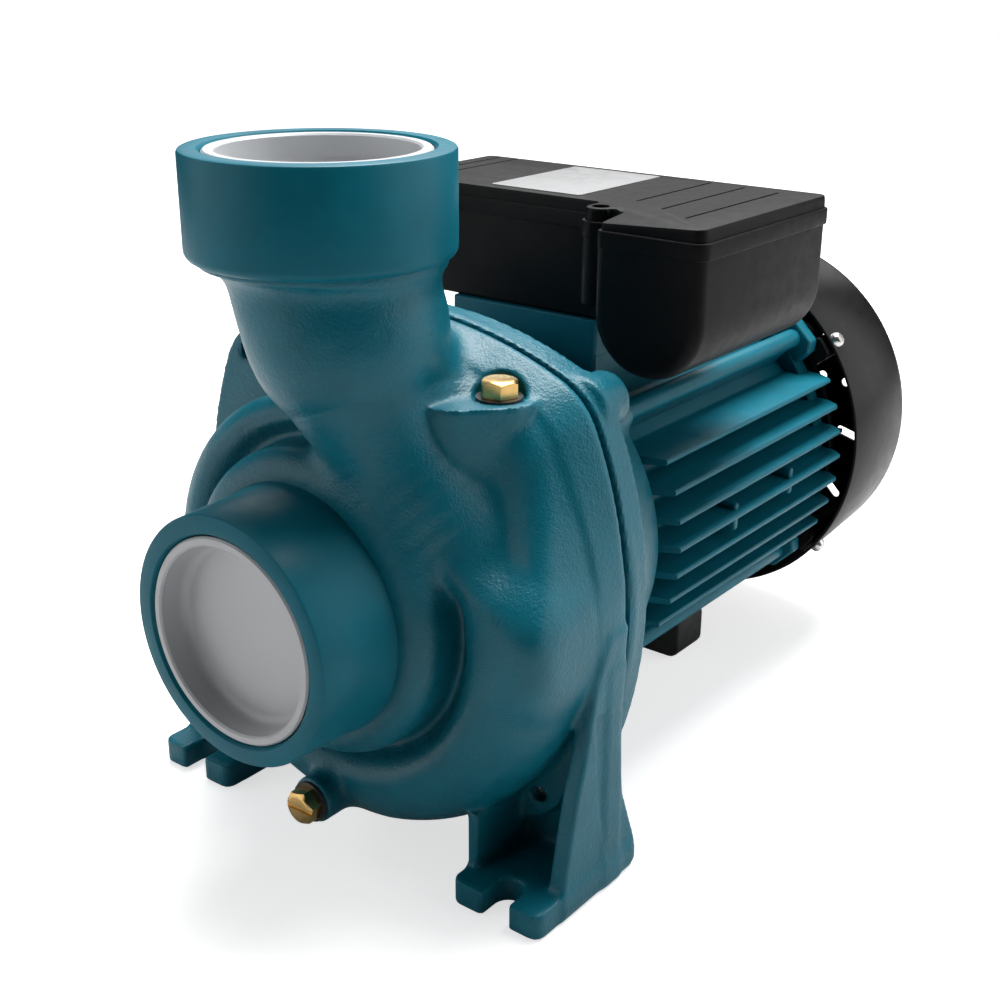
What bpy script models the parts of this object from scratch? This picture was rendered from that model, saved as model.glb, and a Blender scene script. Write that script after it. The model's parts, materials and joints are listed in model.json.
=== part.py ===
"""Close-coupled centrifugal water pump with a finned single-phase motor.

The shaft runs along +Y at SHAFT_HEIGHT above the floor. The suction port faces -Y, the discharge port faces
+Z and the motor stands behind the casing on +Y. Sizes and places below are in millimetres, with y = 0 on the
discharge port's axis. mesh_object() turns them into metres, and centre_on_footprint() then puts the origin on
the floor below the middle of the pump.
"""

import math

import bmesh
import bpy
from mathutils import Vector

MM = 0.001
GAP = 0.3

# Casing
SHAFT_HEIGHT = 121.1
PORT_RADIUS = 52.9
PORT_BORE = 44.1
SUCTION_FACE = -61.7
DISCHARGE_FACE = 306.4
FLANGE_HALF_WIDTH = 113.0
FLANGE_SIDE_RADIUS = 199.0
FLANGE_CORNER_RADIUS = 8.0
FLANGE_FRONT = 33.0
FLANGE_REAR = 50.0
SCROLL_START = math.radians(84)
SCROLL_INNER = 58.0
SCROLL_WALL = 7.5
SCROLL_REAR = 44.0
NECK_RADIUS = 41.5
CAVITY_FRONT = 6.0
CAVITY_RADIUS = 72.0
SPIGOT_RADIUS = 96.0
PASSAGE_RADIUS = 34.0
WEAR_RING_RADIUS = 36.5
FILL_X, FILL_Y, FILL_TOP = 65.0, 28.4, 213.0
DRAIN_Z, DRAIN_FACE = 28.0, -20.0
PLUG_HOLE_RADIUS = 6.5
BOLT_OFFSET = 83.4
BOLT_RADIUS = 4.0

# Feet
FOOT_INNER, FOOT_OUTER = 68.7, 114.3
FOOT_TIP, FOOT_REAR = -8.3, 63.5
FOOT_THICK = 12.0
SLOT_X, SLOT_WIDTH, SLOT_END = 92.0, 13.7, 8.0
GUSSET_THICK = 8.0

# Bracket between casing and motor
BRACKET_FRONT = 53.0
BRACKET_RIM_REAR = 67.0
DRUM_FRONT_RADIUS = 108.0
DRUM_REAR_RADIUS = 84.0
DRUM_REAR = 122.0
EAR_REAR = 76.0
BEARING_SEAT_FRONT = 102.7
SEAL_CHAMBER_RADIUS = 22.0

# Motor
HOUSING_FRONT = 122.4
FIN_FRONT, FIN_REAR = 128.5, 294.5
FIN_RADIUS = 92.0
FIN_PITCH = 13.4
FIN_THICK = 3.6
BARREL_RADIUS = 72.0
HOUSING_BORE = 64.0
TIE_ROD_RADIUS_AT = 86.0
TIE_ROD_RADIUS = 2.5
PEDESTAL_HALF_WIDTH = 41.5
PEDESTAL_TOP = 219.4
PEDESTAL_REAR = 206.0
STACK_FRONT, STACK_REAR = 150.0, 240.0
SHIELD_FRONT, SHIELD_REAR = 294.9, 299.0
SHIELD_RADIUS = 84.0
COVER_FRONT, COVER_REAR = 298.3, 375.0
COVER_FRONT_RADIUS, COVER_REAR_RADIUS = 97.9, 94.4
COVER_WALL = 1.5
LUG_ANGLES = (37, 143, 217, 323)
LUG_Y = 303.5
DIAGONALS = (45, 135, 225, 315)

# Terminal box
BOX_LEFT, BOX_RIGHT = -86.5, 110.5
BOX_FRONT, BOX_REAR = 130.0, 210.5
POCKET_FRONT = 100.3
POCKET_RADIUS = 25.0
BOX_BOTTOM, BOX_TOP = 219.8, 262.0
LID_SKIRT_BOTTOM, LID_TOP = 260.0, 272.5
LID_OVERHANG = 1.5
BOX_WALL = 2.5
LID_SCREWS = ((48.0, 120.5), (-76.0, 120.5))
LID_BOSS_RADIUS = 8.0
POCKET_CENTRE_Z = 234.0
GLAND_PLACE = (0, 160, 240)
LEAD_HOLE_Y = 165.0
LEAD_HOLE_RADIUS = 9.0
SUPPORT_SCREW_Y = 252.5

COLOURS = {
    "pump_enamel": ((0.010, 0.095, 0.125), 0.32, 0.0),
    "black_plastic": ((0.012, 0.012, 0.014), 0.45, 0.0),
    "fan_cover_paint": ((0.02, 0.02, 0.02), 0.4, 0.0),
    "white_plastic": ((0.72, 0.72, 0.73), 0.4, 0.0),
    "brass": ((0.60, 0.38, 0.14), 0.3, 1.0),
    "zinc_steel": ((0.62, 0.62, 0.60), 0.3, 1.0),
    "machined_steel": ((0.52, 0.53, 0.54), 0.3, 1.0),
    "laminated_steel": ((0.25, 0.25, 0.27), 0.5, 1.0),
    "copper_winding": ((0.42, 0.14, 0.06), 0.4, 0.7),
    "black_rubber": ((0.015, 0.015, 0.015), 0.8, 0.0),
    "carbon": ((0.03, 0.03, 0.03), 0.4, 0.0),
    "plate_label": ((0.62, 0.63, 0.64), 0.35, 0.2),
    "capacitor_case": ((0.70, 0.70, 0.68), 0.4, 0.0),
}


# ---------------------------------------------------------------- helpers


def clear_scene():
    for old in list(bpy.data.objects):
        bpy.data.objects.remove(old, do_unlink=True)


def material(name):
    found = bpy.data.materials.get(name)
    if found:
        return found
    colour, roughness, metallic = COLOURS[name]
    made = bpy.data.materials.new(name)
    made.use_nodes = True
    shader = made.node_tree.nodes["Principled BSDF"]
    shader.inputs["Base Color"].default_value = (*colour, 1.0)
    shader.inputs["Roughness"].default_value = roughness
    shader.inputs["Metallic"].default_value = metallic
    return made


def mesh_object(name, points, faces, finish, location=(0, 0, 0), parent=None):
    """An object from points in millimetres around its own origin, with its faces turned outwards."""
    mesh = bpy.data.meshes.new(name)
    mesh.from_pydata([Vector(p) * MM for p in points], [], faces)
    shape = bmesh.new()
    shape.from_mesh(mesh)
    bmesh.ops.recalc_face_normals(shape, faces=shape.faces)
    shape.to_mesh(mesh)
    shape.free()
    mesh.shade_smooth()
    mesh.set_sharp_from_angle(angle=math.radians(32))
    if finish:
        mesh.materials.append(material(finish))
    made = bpy.data.objects.new(name, mesh)
    made.location = Vector(location) * MM
    made.parent = parent
    bpy.context.scene.collection.objects.link(made)
    return made


def axis_point(axis, u, v, along):
    """A point from two cross coordinates and one along the axis. X takes (y, z), Y (x, z) and Z (x, y)."""
    if axis == "X":
        return (along, u, v)
    if axis == "Y":
        return (u, along, v)
    return (u, v, along)


def lathe(name, profile, finish=None, axis="Y", steps=32, location=(0, 0, 0), parent=None):
    """A closed turned body. The profile is a loop of (along, radius), where radius 0 lies on the axis."""
    points = []
    rings = []
    for along, radius in profile:
        if radius < 1e-6:
            rings.append([len(points)] * steps)
            points.append(axis_point(axis, 0, 0, along))
            continue
        rings.append(list(range(len(points), len(points) + steps)))
        for k in range(steps):
            turn = 2 * math.pi * k / steps
            points.append(axis_point(axis, radius * math.cos(turn), radius * math.sin(turn), along))
    faces = []
    for first, second in zip(rings, rings[1:] + rings[:1]):
        if len(set(first)) == 1 and len(set(second)) == 1:
            continue
        for k in range(steps):
            corners = (first[k], first[(k + 1) % steps], second[(k + 1) % steps], second[k])
            faces.append(tuple(dict.fromkeys(corners)))
    return mesh_object(name, points, faces, finish, location, parent)


def loft(name, rings, finish=None, location=(0, 0, 0), parent=None):
    """A closed body through rings of points, each ring the same length, with flat ends."""
    size = len(rings[0])
    points = [p for ring in rings for p in ring]
    faces = [tuple(range(size)), tuple(range(size * (len(rings) - 1), size * len(rings)))]
    for r in range(len(rings) - 1):
        for k in range(size):
            a, b = r * size + k, r * size + (k + 1) % size
            faces.append((a, b, b + size, a + size))
    return mesh_object(name, points, faces, finish, location, parent)


def prism(name, outline, low, high, finish=None, axis="Y", location=(0, 0, 0), parent=None):
    """A closed body from a flat outline, drawn out along the axis from low to high."""
    rings = [[axis_point(axis, u, v, along) for u, v in outline] for along in (low, high)]
    return loft(name, rings, finish, location, parent)


def block(name, low, high, finish=None, location=(0, 0, 0), parent=None):
    outline = [(low[0], low[1]), (high[0], low[1]), (high[0], high[1]), (low[0], high[1])]
    return prism(name, outline, low[2], high[2], finish, "Z", location, parent)


def rod(name, radius, low, high, finish=None, axis="Y", steps=14, location=(0, 0, 0), parent=None):
    outline = circle(0, 0, radius, steps)
    return prism(name, outline, low, high, finish, axis, location, parent)


def tube(name, outer, inner, low, high, finish=None, axis="Y", steps=32, location=(0, 0, 0), parent=None):
    profile = [(low, inner), (low, outer), (high, outer), (high, inner)]
    return lathe(name, profile, finish, axis, steps, location, parent)


def circle(u, v, radius, steps, start=0.0, end=2 * math.pi):
    """Points on an arc about (u, v); a full circle leaves out the repeated last point."""
    full = abs(end - start - 2 * math.pi) < 1e-9
    count = steps if full else steps - 1
    turns = [start + (end - start) * k / count for k in range(steps)]
    return [(u + radius * math.cos(t), v + radius * math.sin(t)) for t in turns]


def turned(u, v, turn):
    return u * math.cos(turn) - v * math.sin(turn), u * math.sin(turn) + v * math.cos(turn)


def hexagon(across_flats, turn=0.0):
    radius = across_flats / math.sqrt(3)
    return circle(0, 0, radius, 6, turn, turn + 2 * math.pi)


def rounded_box(low_u, low_v, high_u, high_v, radius, steps=4):
    centres = (
        (high_u - radius, high_v - radius, 0),
        (low_u + radius, high_v - radius, 1),
        (low_u + radius, low_v + radius, 2),
        (high_u - radius, low_v + radius, 3),
    )
    outline = []
    for u, v, quarter in centres:
        start = quarter * math.pi / 2
        outline += circle(u, v, radius, steps, start, start + math.pi / 2)
    return outline


def merge_flat_faces(mesh):
    """Joins neighbouring faces that lie in one plane, which Boolean operations leave in strips."""
    shape = bmesh.new()
    shape.from_mesh(mesh)
    limit = math.radians(0.05)
    bmesh.ops.dissolve_limit(shape, angle_limit=limit, verts=shape.verts, edges=shape.edges)
    shape.to_mesh(mesh)
    shape.free()


def combine(target, other, operation):
    """Applies one Boolean and throws the second body away."""
    modifier = target.modifiers.new(operation.lower(), "BOOLEAN")
    modifier.operation = operation
    modifier.solver = "EXACT"
    modifier.object = other
    bpy.context.view_layer.update()
    graph = bpy.context.evaluated_depsgraph_get()
    mesh = bpy.data.meshes.new_from_object(target.evaluated_get(graph))
    mesh.name = target.name
    target.modifiers.remove(modifier)
    target.data = mesh
    bpy.data.objects.remove(other, do_unlink=True)
    merge_flat_faces(mesh)
    mesh.shade_smooth()
    mesh.set_sharp_from_angle(angle=math.radians(32))
    return target


def join(target, *others):
    for other in others:
        combine(target, other, "UNION")
    return target


def cut(target, *others):
    for other in others:
        combine(target, other, "DIFFERENCE")
    return target


def polar(radius, degrees):
    turn = math.radians(degrees)
    return radius * math.cos(turn), SHAFT_HEIGHT + radius * math.sin(turn)


def axis_empty(name, x, y, z):
    made = bpy.data.objects.new(name, None)
    made.location = Vector((x, y, z)) * MM
    bpy.context.scene.collection.objects.link(made)
    return made


# ---------------------------------------------------------------- pump casing


def flange_outline():
    """A square with bowed sides and small corner radii, centred on the shaft."""
    side_centre = FLANGE_SIDE_RADIUS - FLANGE_HALF_WIDTH
    reach = FLANGE_SIDE_RADIUS - FLANGE_CORNER_RADIUS
    corner = (math.sqrt(2 * reach**2 - side_centre**2) - side_centre) / 2
    swing = math.atan2(corner, corner + side_centre)
    outline = []
    for quarter in range(4):
        turn = quarter * math.pi / 2
        local = circle(-side_centre, 0, FLANGE_SIDE_RADIUS, 6, -swing, swing)
        rounding = circle(corner, corner, FLANGE_CORNER_RADIUS, 4, swing, math.pi / 2 - swing)
        local += rounding[1:-1]
        around = [turned(u, v, turn) for u, v in local]
        outline += [(x, SHAFT_HEIGHT + rise) for x, rise in around]
    return outline


def scroll_radius(turn):
    """Outer radius of the scroll, growing fast at first and slower later."""
    share = (turn - SCROLL_START) / (2 * math.pi - SCROLL_START)
    return 84 + 29 * share**0.75


def passage_ring(x, z, normal, half_across, half_deep, y, squareness, steps=14):
    """A ring of a rounded section, in the plane of the given radial direction and the shaft."""
    ring = []
    for k in range(steps):
        turn = 2 * math.pi * k / steps
        c, s = math.cos(turn), math.sin(turn)
        size = (abs(c) ** squareness + abs(s) ** squareness) ** (-1 / squareness)
        across = half_across * size * c
        ring.append((x + normal[0] * across, y + half_deep * size * s, z + normal[1] * across))
    return ring


def scroll_rings(wall):
    """Sections of the scroll from its tongue round to where the neck leaves it, thinned by the wall."""
    rings = []
    for k in range(12):
        share = k / 11
        turn = SCROLL_START + (2 * math.pi - SCROLL_START) * share
        outer = scroll_radius(turn)
        front = -4 - 9 * share
        centre = (outer + SCROLL_INNER) / 2
        normal = (math.cos(turn), math.sin(turn))
        x = centre * normal[0]
        z = SHAFT_HEIGHT + centre * normal[1]
        across = (outer - SCROLL_INNER) / 2 - wall
        deep = (SCROLL_REAR - front) / 2 - wall
        middle = (SCROLL_REAR + front) / 2
        rings.append(passage_ring(x, z, normal, across, deep, middle, 3.2 - 0.4 * share))
    return rings


def neck_rings(wall):
    """Sections of the swept neck, from inside the end of the scroll up to the discharge collar."""
    # x, height above the shaft, lean of the path from upright in degrees, radius, depth centre, squareness
    stations = (
        (85, -6, 0, 26.5, 14, 2.7),
        (83, 25, 15, 31, 12, 2.6),
        (71, 49, 37, 35, 8, 2.4),
        (52, 68, 45, 39, 4, 2.2),
        (35, 83, 40, 40.5, 1.5, 2.1),
        (20, 97, 27, NECK_RADIUS, 0, 2),
        (11, 117, 20, NECK_RADIUS, 0, 2),
        (4, 139, 10, NECK_RADIUS, 0, 2),
        (0, 160, 0, NECK_RADIUS, 0, 2),
    )
    rings = []
    for x, rise, lean, radius, y, squareness in stations:
        turn = math.radians(lean)
        normal = (math.cos(turn), math.sin(turn))
        size = radius - wall
        rings.append(passage_ring(x, SHAFT_HEIGHT + rise, normal, size, size, y, squareness))
    return rings


def bolt_places():
    """The four corners at which casing and bracket are bolted together."""
    corners = [(x, z) for x in (-BOLT_OFFSET, BOLT_OFFSET) for z in (-BOLT_OFFSET, BOLT_OFFSET)]
    return [(x, 0, SHAFT_HEIGHT + z) for x, z in corners]


def casing_hub():
    """Suction collar, the raised ring around it and the valley outside the ring, as one turned body."""
    profile = [
        (SUCTION_FACE, 0),
        (SUCTION_FACE, PORT_RADIUS),
        (-24, 54),
        (-21, 58),
        (-17, 63.5),
        (-11, 67),
        (-3, 69),
        (2, 74),
        (CAVITY_FRONT + 2, 74),
        (CAVITY_FRONT + 2, 0),
    ]
    return lathe("hub", profile, steps=32, location=(0, 0, SHAFT_HEIGHT))


def discharge_collar():
    profile = [
        (252, 0),
        (252, NECK_RADIUS - 1),
        (262, NECK_RADIUS + 1),
        (266, 48),
        (272, PORT_RADIUS),
        (DISCHARGE_FACE, PORT_RADIUS),
        (DISCHARGE_FACE, 0),
    ]
    return lathe("collar", profile, axis="Z", steps=32)


def foot(side):
    """One slotted foot with the plate above it and the gusset on its outer edge."""
    edge = [(side * FOOT_INNER, FOOT_TIP), (side * FOOT_OUTER, FOOT_TIP)]
    edge += [(side * FOOT_OUTER, FOOT_REAR), (side * FOOT_INNER, FOOT_REAR)]
    base = prism("foot", edge, 0, FOOT_THICK, "pump_enamel", "Z")
    slot = [(side * SLOT_X - SLOT_WIDTH / 2, FOOT_TIP - 5), (side * SLOT_X + SLOT_WIDTH / 2, FOOT_TIP - 5)]
    slot += circle(side * SLOT_X, SLOT_END - SLOT_WIDTH / 2, SLOT_WIDTH / 2, 9, 0, math.pi)
    slot_cutter = prism("slot", slot, -5, FOOT_THICK + 5, axis="Z")
    inner, outer = side * FOOT_INNER, side * FOOT_OUTER
    plate = [(inner, 1), (outer, 1), (outer, 98), (side * 100, 110), (side * 60, 60), (inner, 40)]
    web = prism("web", plate, FLANGE_FRONT + 3, FLANGE_REAR, axis="Y")
    side_view = [
        (FOOT_TIP + 14, 1),
        (9.1, 12.6),
        (13.2, 33.5),
        (18, 55),
        (23, 71),
        (28, 97),
        (30, 112),
        (FLANGE_REAR, 112),
        (FLANGE_REAR, 97),
        (46.5, 71),
        (49.5, 51),
        (56.3, 33),
        (63, 15),
        (63, 1),
    ]
    low, high = sorted((outer - side * GUSSET_THICK, outer - side * 0.1))
    gusset = prism("gusset", side_view, low, high, axis="X")
    return join(cut(base, slot_cutter), web, gusset)


def rear_of_casing_cutter():
    """The opening at the joint plane, the impeller room and the stepped suction passage."""
    profile = [
        (SUCTION_FACE - 5, 0),
        (SUCTION_FACE - 5, PORT_BORE),
        (-38, PORT_BORE),
        (-34, PASSAGE_RADIUS),
        (-8, PASSAGE_RADIUS),
        (-8, WEAR_RING_RADIUS),
        (CAVITY_FRONT, WEAR_RING_RADIUS),
        (CAVITY_FRONT, CAVITY_RADIUS),
        (FLANGE_FRONT - 3, CAVITY_RADIUS),
        (FLANGE_FRONT - 3, SPIGOT_RADIUS),
        (FLANGE_REAR + 5, SPIGOT_RADIUS),
        (FLANGE_REAR + 5, 0),
    ]
    return lathe("rear_cutter", profile, steps=32, location=(0, 0, SHAFT_HEIGHT))


def pump_casing():
    casing = prism("pump_casing", flange_outline(), FLANGE_FRONT, FLANGE_REAR, "pump_enamel")
    join(casing, foot(1), foot(-1), casing_hub(), discharge_collar())
    join(casing, loft("scroll", scroll_rings(0.0)), loft("neck", neck_rings(0.0)))
    join(casing, rod("fill_boss", 16.5, 150, FILL_TOP, axis="Z", steps=20, location=(FILL_X, FILL_Y, 0)))
    join(casing, rod("drain_boss", 10.5, DRAIN_FACE, 30, steps=20, location=(0, 0, DRAIN_Z)))
    cut(casing, loft("scroll_core", scroll_rings(SCROLL_WALL)), loft("neck_core", neck_rings(SCROLL_WALL)))
    cut(casing, rear_of_casing_cutter())
    port = [(255, 0), (255, PASSAGE_RADIUS), (278, PASSAGE_RADIUS), (282, PORT_BORE)]
    port += [(DISCHARGE_FACE + 5, PORT_BORE), (DISCHARGE_FACE + 5, 0)]
    cut(casing, lathe("port_bore", port, axis="Z", steps=28))
    cut(casing, rod("fill_hole", PLUG_HOLE_RADIUS, 172, 220, axis="Z", location=(FILL_X, FILL_Y, 0)))
    cut(casing, rod("fill_spotface", 10.5, FILL_TOP - 1, 230, axis="Z", location=(FILL_X, FILL_Y, 0)))
    cut(casing, rod("drain_hole", PLUG_HOLE_RADIUS, -30, 14, location=(0, 0, DRAIN_Z)))
    low, high = FLANGE_FRONT - 10, FLANGE_REAR + 10
    for place in bolt_places():
        cut(casing, rod("bolt_hole", BOLT_RADIUS, low, high, steps=12, location=place))
    return casing


# ---------------------------------------------------------------- port caps and plugs


def port_cap(name, axis, location, direction):
    """A cup pressed into a port's thread, open to the outside. Direction is +1 when the mouth faces +axis."""
    outer, inner, depth = PORT_BORE - GAP, 39.3, 13.0
    rim = -0.5 * direction
    floor = rim - depth * direction
    back = floor - 2.5 * direction
    profile = [(back, 0), (back, outer - 1.5), (back + 1.5 * direction, outer), (rim, outer)]
    profile += [(rim, inner), (floor + 3 * direction, inner), (floor, inner - 3), (floor, 0)]
    return lathe(name, profile, "white_plastic", axis, 48, location)


def plug(name, axis, location, direction):
    """A brass hex plug with a chamfered crown and a plain shank. The origin is on the seat."""
    shank = rod(name, PLUG_HOLE_RADIUS - GAP, -14 * direction, 3 * direction, "brass", axis, 20, location)
    low, high = sorted((1.8 * direction, 8.6 * direction))
    head = prism("head", hexagon(14.0, math.radians(12)), low, high, axis=axis, location=location)
    crown_profile = [
        (0, 0),
        (0, 8.6),
        (7.4 * direction, 8.6),
        (8.6 * direction, 6.4),
        (8.6 * direction, 0),
    ]
    crown = lathe("crown", crown_profile, axis=axis, steps=24, location=location)
    combine(head, crown, "INTERSECT")
    return join(shank, head)


def plug_washer(name, axis, location, direction):
    low, high = sorted((GAP * direction, 1.5 * direction))
    return tube(name, 9.4, PLUG_HOLE_RADIUS + GAP, low, high, "carbon", axis, 24, location)


def ports_and_plugs():
    port_cap("suction_port_cap", "Y", (0, SUCTION_FACE, SHAFT_HEIGHT), -1)
    port_cap("discharge_port_cap", "Z", (0, 0, DISCHARGE_FACE), 1)
    fill_seat = (FILL_X, FILL_Y, FILL_TOP - 1)
    plug("fill_plug", "Z", fill_seat, 1)
    plug_washer("fill_plug_washer", "Z", fill_seat, 1)
    drain_seat = (0, DRAIN_FACE, DRAIN_Z)
    plug("drain_plug", "Y", drain_seat, -1)
    plug_washer("drain_plug_washer", "Y", drain_seat, -1)


# ---------------------------------------------------------------- turning parts


def vane_outline(first_turn):
    """One backward-curved vane: a strip of constant thickness along a logarithmic spiral."""
    inner, outer, thick = 30.0, 67.0, 1.6
    left, right = [], []
    for k in range(7):
        radius = inner + (outer - inner) * k / 6
        turn = first_turn - 1.25 * math.log(radius / inner)
        half = thick / radius
        left.append((radius * math.cos(turn + half), radius * math.sin(turn + half)))
        right.append((radius * math.cos(turn - half), radius * math.sin(turn - half)))
    return left + right[::-1]


def impeller(shaft):
    profile = [(0, 8.3), (0, 14), (18, 18), (21, 30), (22, 68), (26, 68), (27, 30), (32, 16), (32, 8.3)]
    wheel = lathe("impeller", profile, "brass", steps=28, parent=shaft)
    front = [(-6, 32), (-6, 36), (6.4, 36), (8.5, 42), (9.8, 68), (12, 68), (10.9, 42), (8.4, 32)]
    shroud = lathe("shroud", front, steps=28, parent=shaft)
    for k in range(6):
        join(wheel, prism("vane", vane_outline(2 * math.pi * k / 6), 9.5, 23.5, parent=shaft))
    join(wheel, shroud)
    return cut(wheel, block("keyway", (-2.8, 8, 5), (2.8, 24, 10.8), parent=shaft))


def seal(shaft):
    rotating = [(44, 9.4), (44, 13), (46, 15), (55, 15), (55, 11.5), (54, 9.4)]
    lathe("seal_rotating_head", rotating, "machined_steel", steps=20, parent=shaft)
    seat = [(55.4, 11.5), (55.4, 14.5), (57, 17), (61.5, 17), (61.5, 11.5)]
    lathe("seal_seat", seat, "carbon", steps=20, location=(0, 0, SHAFT_HEIGHT))
    rings = []
    turns, wire, coil = 2.5, 0.9, 12.0
    for k in range(31):
        turn = 2 * math.pi * turns * k / 30
        y = 34.5 + (42.6 - 34.5) * k / 30
        ring = []
        for j in range(5):
            around = 2 * math.pi * j / 5
            radius = coil + wire * math.cos(around)
            ring.append((radius * math.cos(turn), y + wire * math.sin(around), radius * math.sin(turn)))
        rings.append(ring)
    loft("seal_spring", rings, "machined_steel", parent=shaft)


def motor_shaft(shaft):
    profile = [(-15, 0), (-15, 5), (-14, 6), (0, 6), (0, 8), (34, 8), (34, 9), (66, 9), (66, 10)]
    profile += [(120, 10), (120, 12), (272, 12), (272, 8.5), (297, 8.5), (297, 7.5), (331, 7.5)]
    profile += [(332, 6.5), (332, 0)]
    made = lathe("motor_shaft", profile, "machined_steel", steps=20, parent=shaft)
    return cut(made, block("keyway", (-2.8, 8, 5.2), (2.8, 24, 10), parent=shaft))


def shaft_fasteners(shaft):
    nut = prism("impeller_nut", hexagon(18.0), -12, -2.2, "brass", parent=shaft)
    cut(nut, rod("nut_bore", 6.3, -20, 5, parent=shaft))
    tube("impeller_washer", 10.5, 6.3, -1.9, -0.3, "zinc_steel", steps=24, parent=shaft)
    block("impeller_key", (-2.5, 8.3, 5.5), (2.5, 23.7, 10.5), "machined_steel", parent=shaft)
    tube("slinger_ring", 19, 10.3, 78, 81, "black_rubber", steps=28, parent=shaft)
    clip = tube("fan_circlip", 10.5, 7.8, 327.4, 328.6, "machined_steel", steps=24, parent=shaft)
    cut(clip, block("clip_mouth", (-2, 325, -12), (2, 331, -5), parent=shaft))


def bearing(name, shaft, y, width, outer, inner, finish="machined_steel"):
    """Outer race, inner race, and the balls with their cage as one ring between them."""
    rise = (outer - inner) / 3
    place = (0, 0, SHAFT_HEIGHT)
    tube(name + "_outer_race", outer, outer - rise + GAP, y, y + width, finish, steps=24, location=place)
    inner_edge = inner + rise - GAP
    tube(name + "_inner_race", inner_edge, inner + GAP, y, y + width, finish, steps=24, parent=shaft)
    middle = (inner + outer) / 2
    ball = rise / 2 - 2 * GAP
    cage = []
    for k in range(6):
        turn = 2 * math.pi * k / 6
        cage.append((y + width / 2 + 1.6 * ball * math.cos(turn), middle + ball * math.sin(turn)))
    cage_axis = axis_empty(name + "_cage_axis", 0, 0, SHAFT_HEIGHT)
    lathe(name + "_ball_cage", cage, "brass", steps=24, parent=cage_axis)


def rotor(shaft):
    profile = [(STACK_FRONT, 12 + GAP), (STACK_FRONT, 35), (STACK_REAR, 35), (STACK_REAR, 12 + GAP)]
    core = lathe("rotor_core", profile, "laminated_steel", steps=28, parent=shaft)
    for low, high in ((STACK_FRONT - 9, STACK_FRONT + 1), (STACK_REAR - 1, STACK_REAR + 9)):
        join(core, tube("end_ring", 33, 22, low, high, steps=24, parent=shaft))
    return core


def cooling_fan(shaft):
    disc = [(306, 7.8), (306, 14), (309, 20), (311, 74), (313, 74), (313, 16), (327, 13), (327, 7.8)]
    hub = lathe("cooling_fan", disc, "black_plastic", steps=28, parent=shaft)
    for k in range(7):
        flat = ((14, -1.2), (74, -1.2), (74, 1.2), (14, 1.2))
        blade = [turned(u, v, 2 * math.pi * k / 7) for u, v in flat]
        join(hub, prism("blade", blade, 310, 332, parent=shaft))
    return cut(hub, rod("fan_bore", 7.8, 300, 340, parent=shaft))


def turning_parts():
    shaft = axis_empty("shaft_axis", 0, 0, SHAFT_HEIGHT)
    motor_shaft(shaft)
    impeller(shaft)
    shaft_fasteners(shaft)
    seal(shaft)
    bearing("front_bearing", shaft, 103, 14, 23.5, 10)
    bearing("rear_bearing", shaft, 276, 12, 20, 8.5)
    rotor(shaft)
    cooling_fan(shaft)


# ---------------------------------------------------------------- bracket


def bracket_core_cutter():
    """Seal chamber, seat pocket, shaft hole, the hollow behind the wall and the front bearing's seat."""
    profile = [
        (25, 0),
        (25, SEAL_CHAMBER_RADIUS),
        (54.8, SEAL_CHAMBER_RADIUS),
        (54.8, 17.3),
        (61.8, 17.3),
        (61.8, 11.2),
        (68, 11.2),
        (68, 90),
        (DRUM_REAR - 11, 76),
        (DRUM_REAR - 11, 30),
        (98, 30),
        (98, 12.5),
        (BEARING_SEAT_FRONT, 12.5),
        (BEARING_SEAT_FRONT, 23.8),
        (125, 23.8),
        (125, 0),
    ]
    return lathe("bracket_core", profile, steps=24, location=(0, 0, SHAFT_HEIGHT))


def motor_bracket():
    bracket = prism("motor_bracket", flange_outline(), BRACKET_FRONT, BRACKET_RIM_REAR, "pump_enamel")
    body = [
        (33.5, 0),
        (33.5, SPIGOT_RADIUS - GAP),
        (40, SPIGOT_RADIUS - GAP),
        (40, 92),
        (43.5, 92),
        (43.5, SPIGOT_RADIUS - GAP),
        (60, SPIGOT_RADIUS - GAP),
        (BRACKET_RIM_REAR - 1, DRUM_FRONT_RADIUS),
        (DRUM_REAR, DRUM_REAR_RADIUS),
        (DRUM_REAR, 0),
    ]
    join(bracket, lathe("drum", body, steps=32, location=(0, 0, SHAFT_HEIGHT)))
    for place in bolt_places():
        join(bracket, rod("ear", 11.5, BRACKET_RIM_REAR - 5, EAR_REAR, steps=20, location=place))
        cut(bracket, rod("bolt_hole", BOLT_RADIUS, 40, 90, steps=12, location=place))
    for degrees in DIAGONALS:
        x, z = polar(TIE_ROD_RADIUS_AT, degrees)
        join(bracket, rod("tie_boss", 7.5, 96, DRUM_REAR - 0.1, steps=16, location=(x, 0, z)))
        cut(bracket, rod("tie_hole", TIE_ROD_RADIUS + GAP, 98, 130, steps=12, location=(x, 0, z)))
    cut(bracket, bracket_core_cutter())
    return cut(bracket, block("drain_slot", (-14, 78, 10), (14, 100, SHAFT_HEIGHT - 60)))


def casing_fasteners():
    for number, place in enumerate(bolt_places(), 1):
        head = EAR_REAR + GAP
        bolt = prism(f"casing_bolt_{number}", hexagon(12.0), head, head + 5.7, "zinc_steel", location=place)
        join(bolt, rod("shank", BOLT_RADIUS - GAP, 38, head + 1, steps=12, location=place))
    middle = (0, 0, SHAFT_HEIGHT)
    tube("casing_o_ring", SPIGOT_RADIUS - GAP, 92.3, 40.3, 43.2, "black_rubber", location=middle)


# ---------------------------------------------------------------- motor


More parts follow.
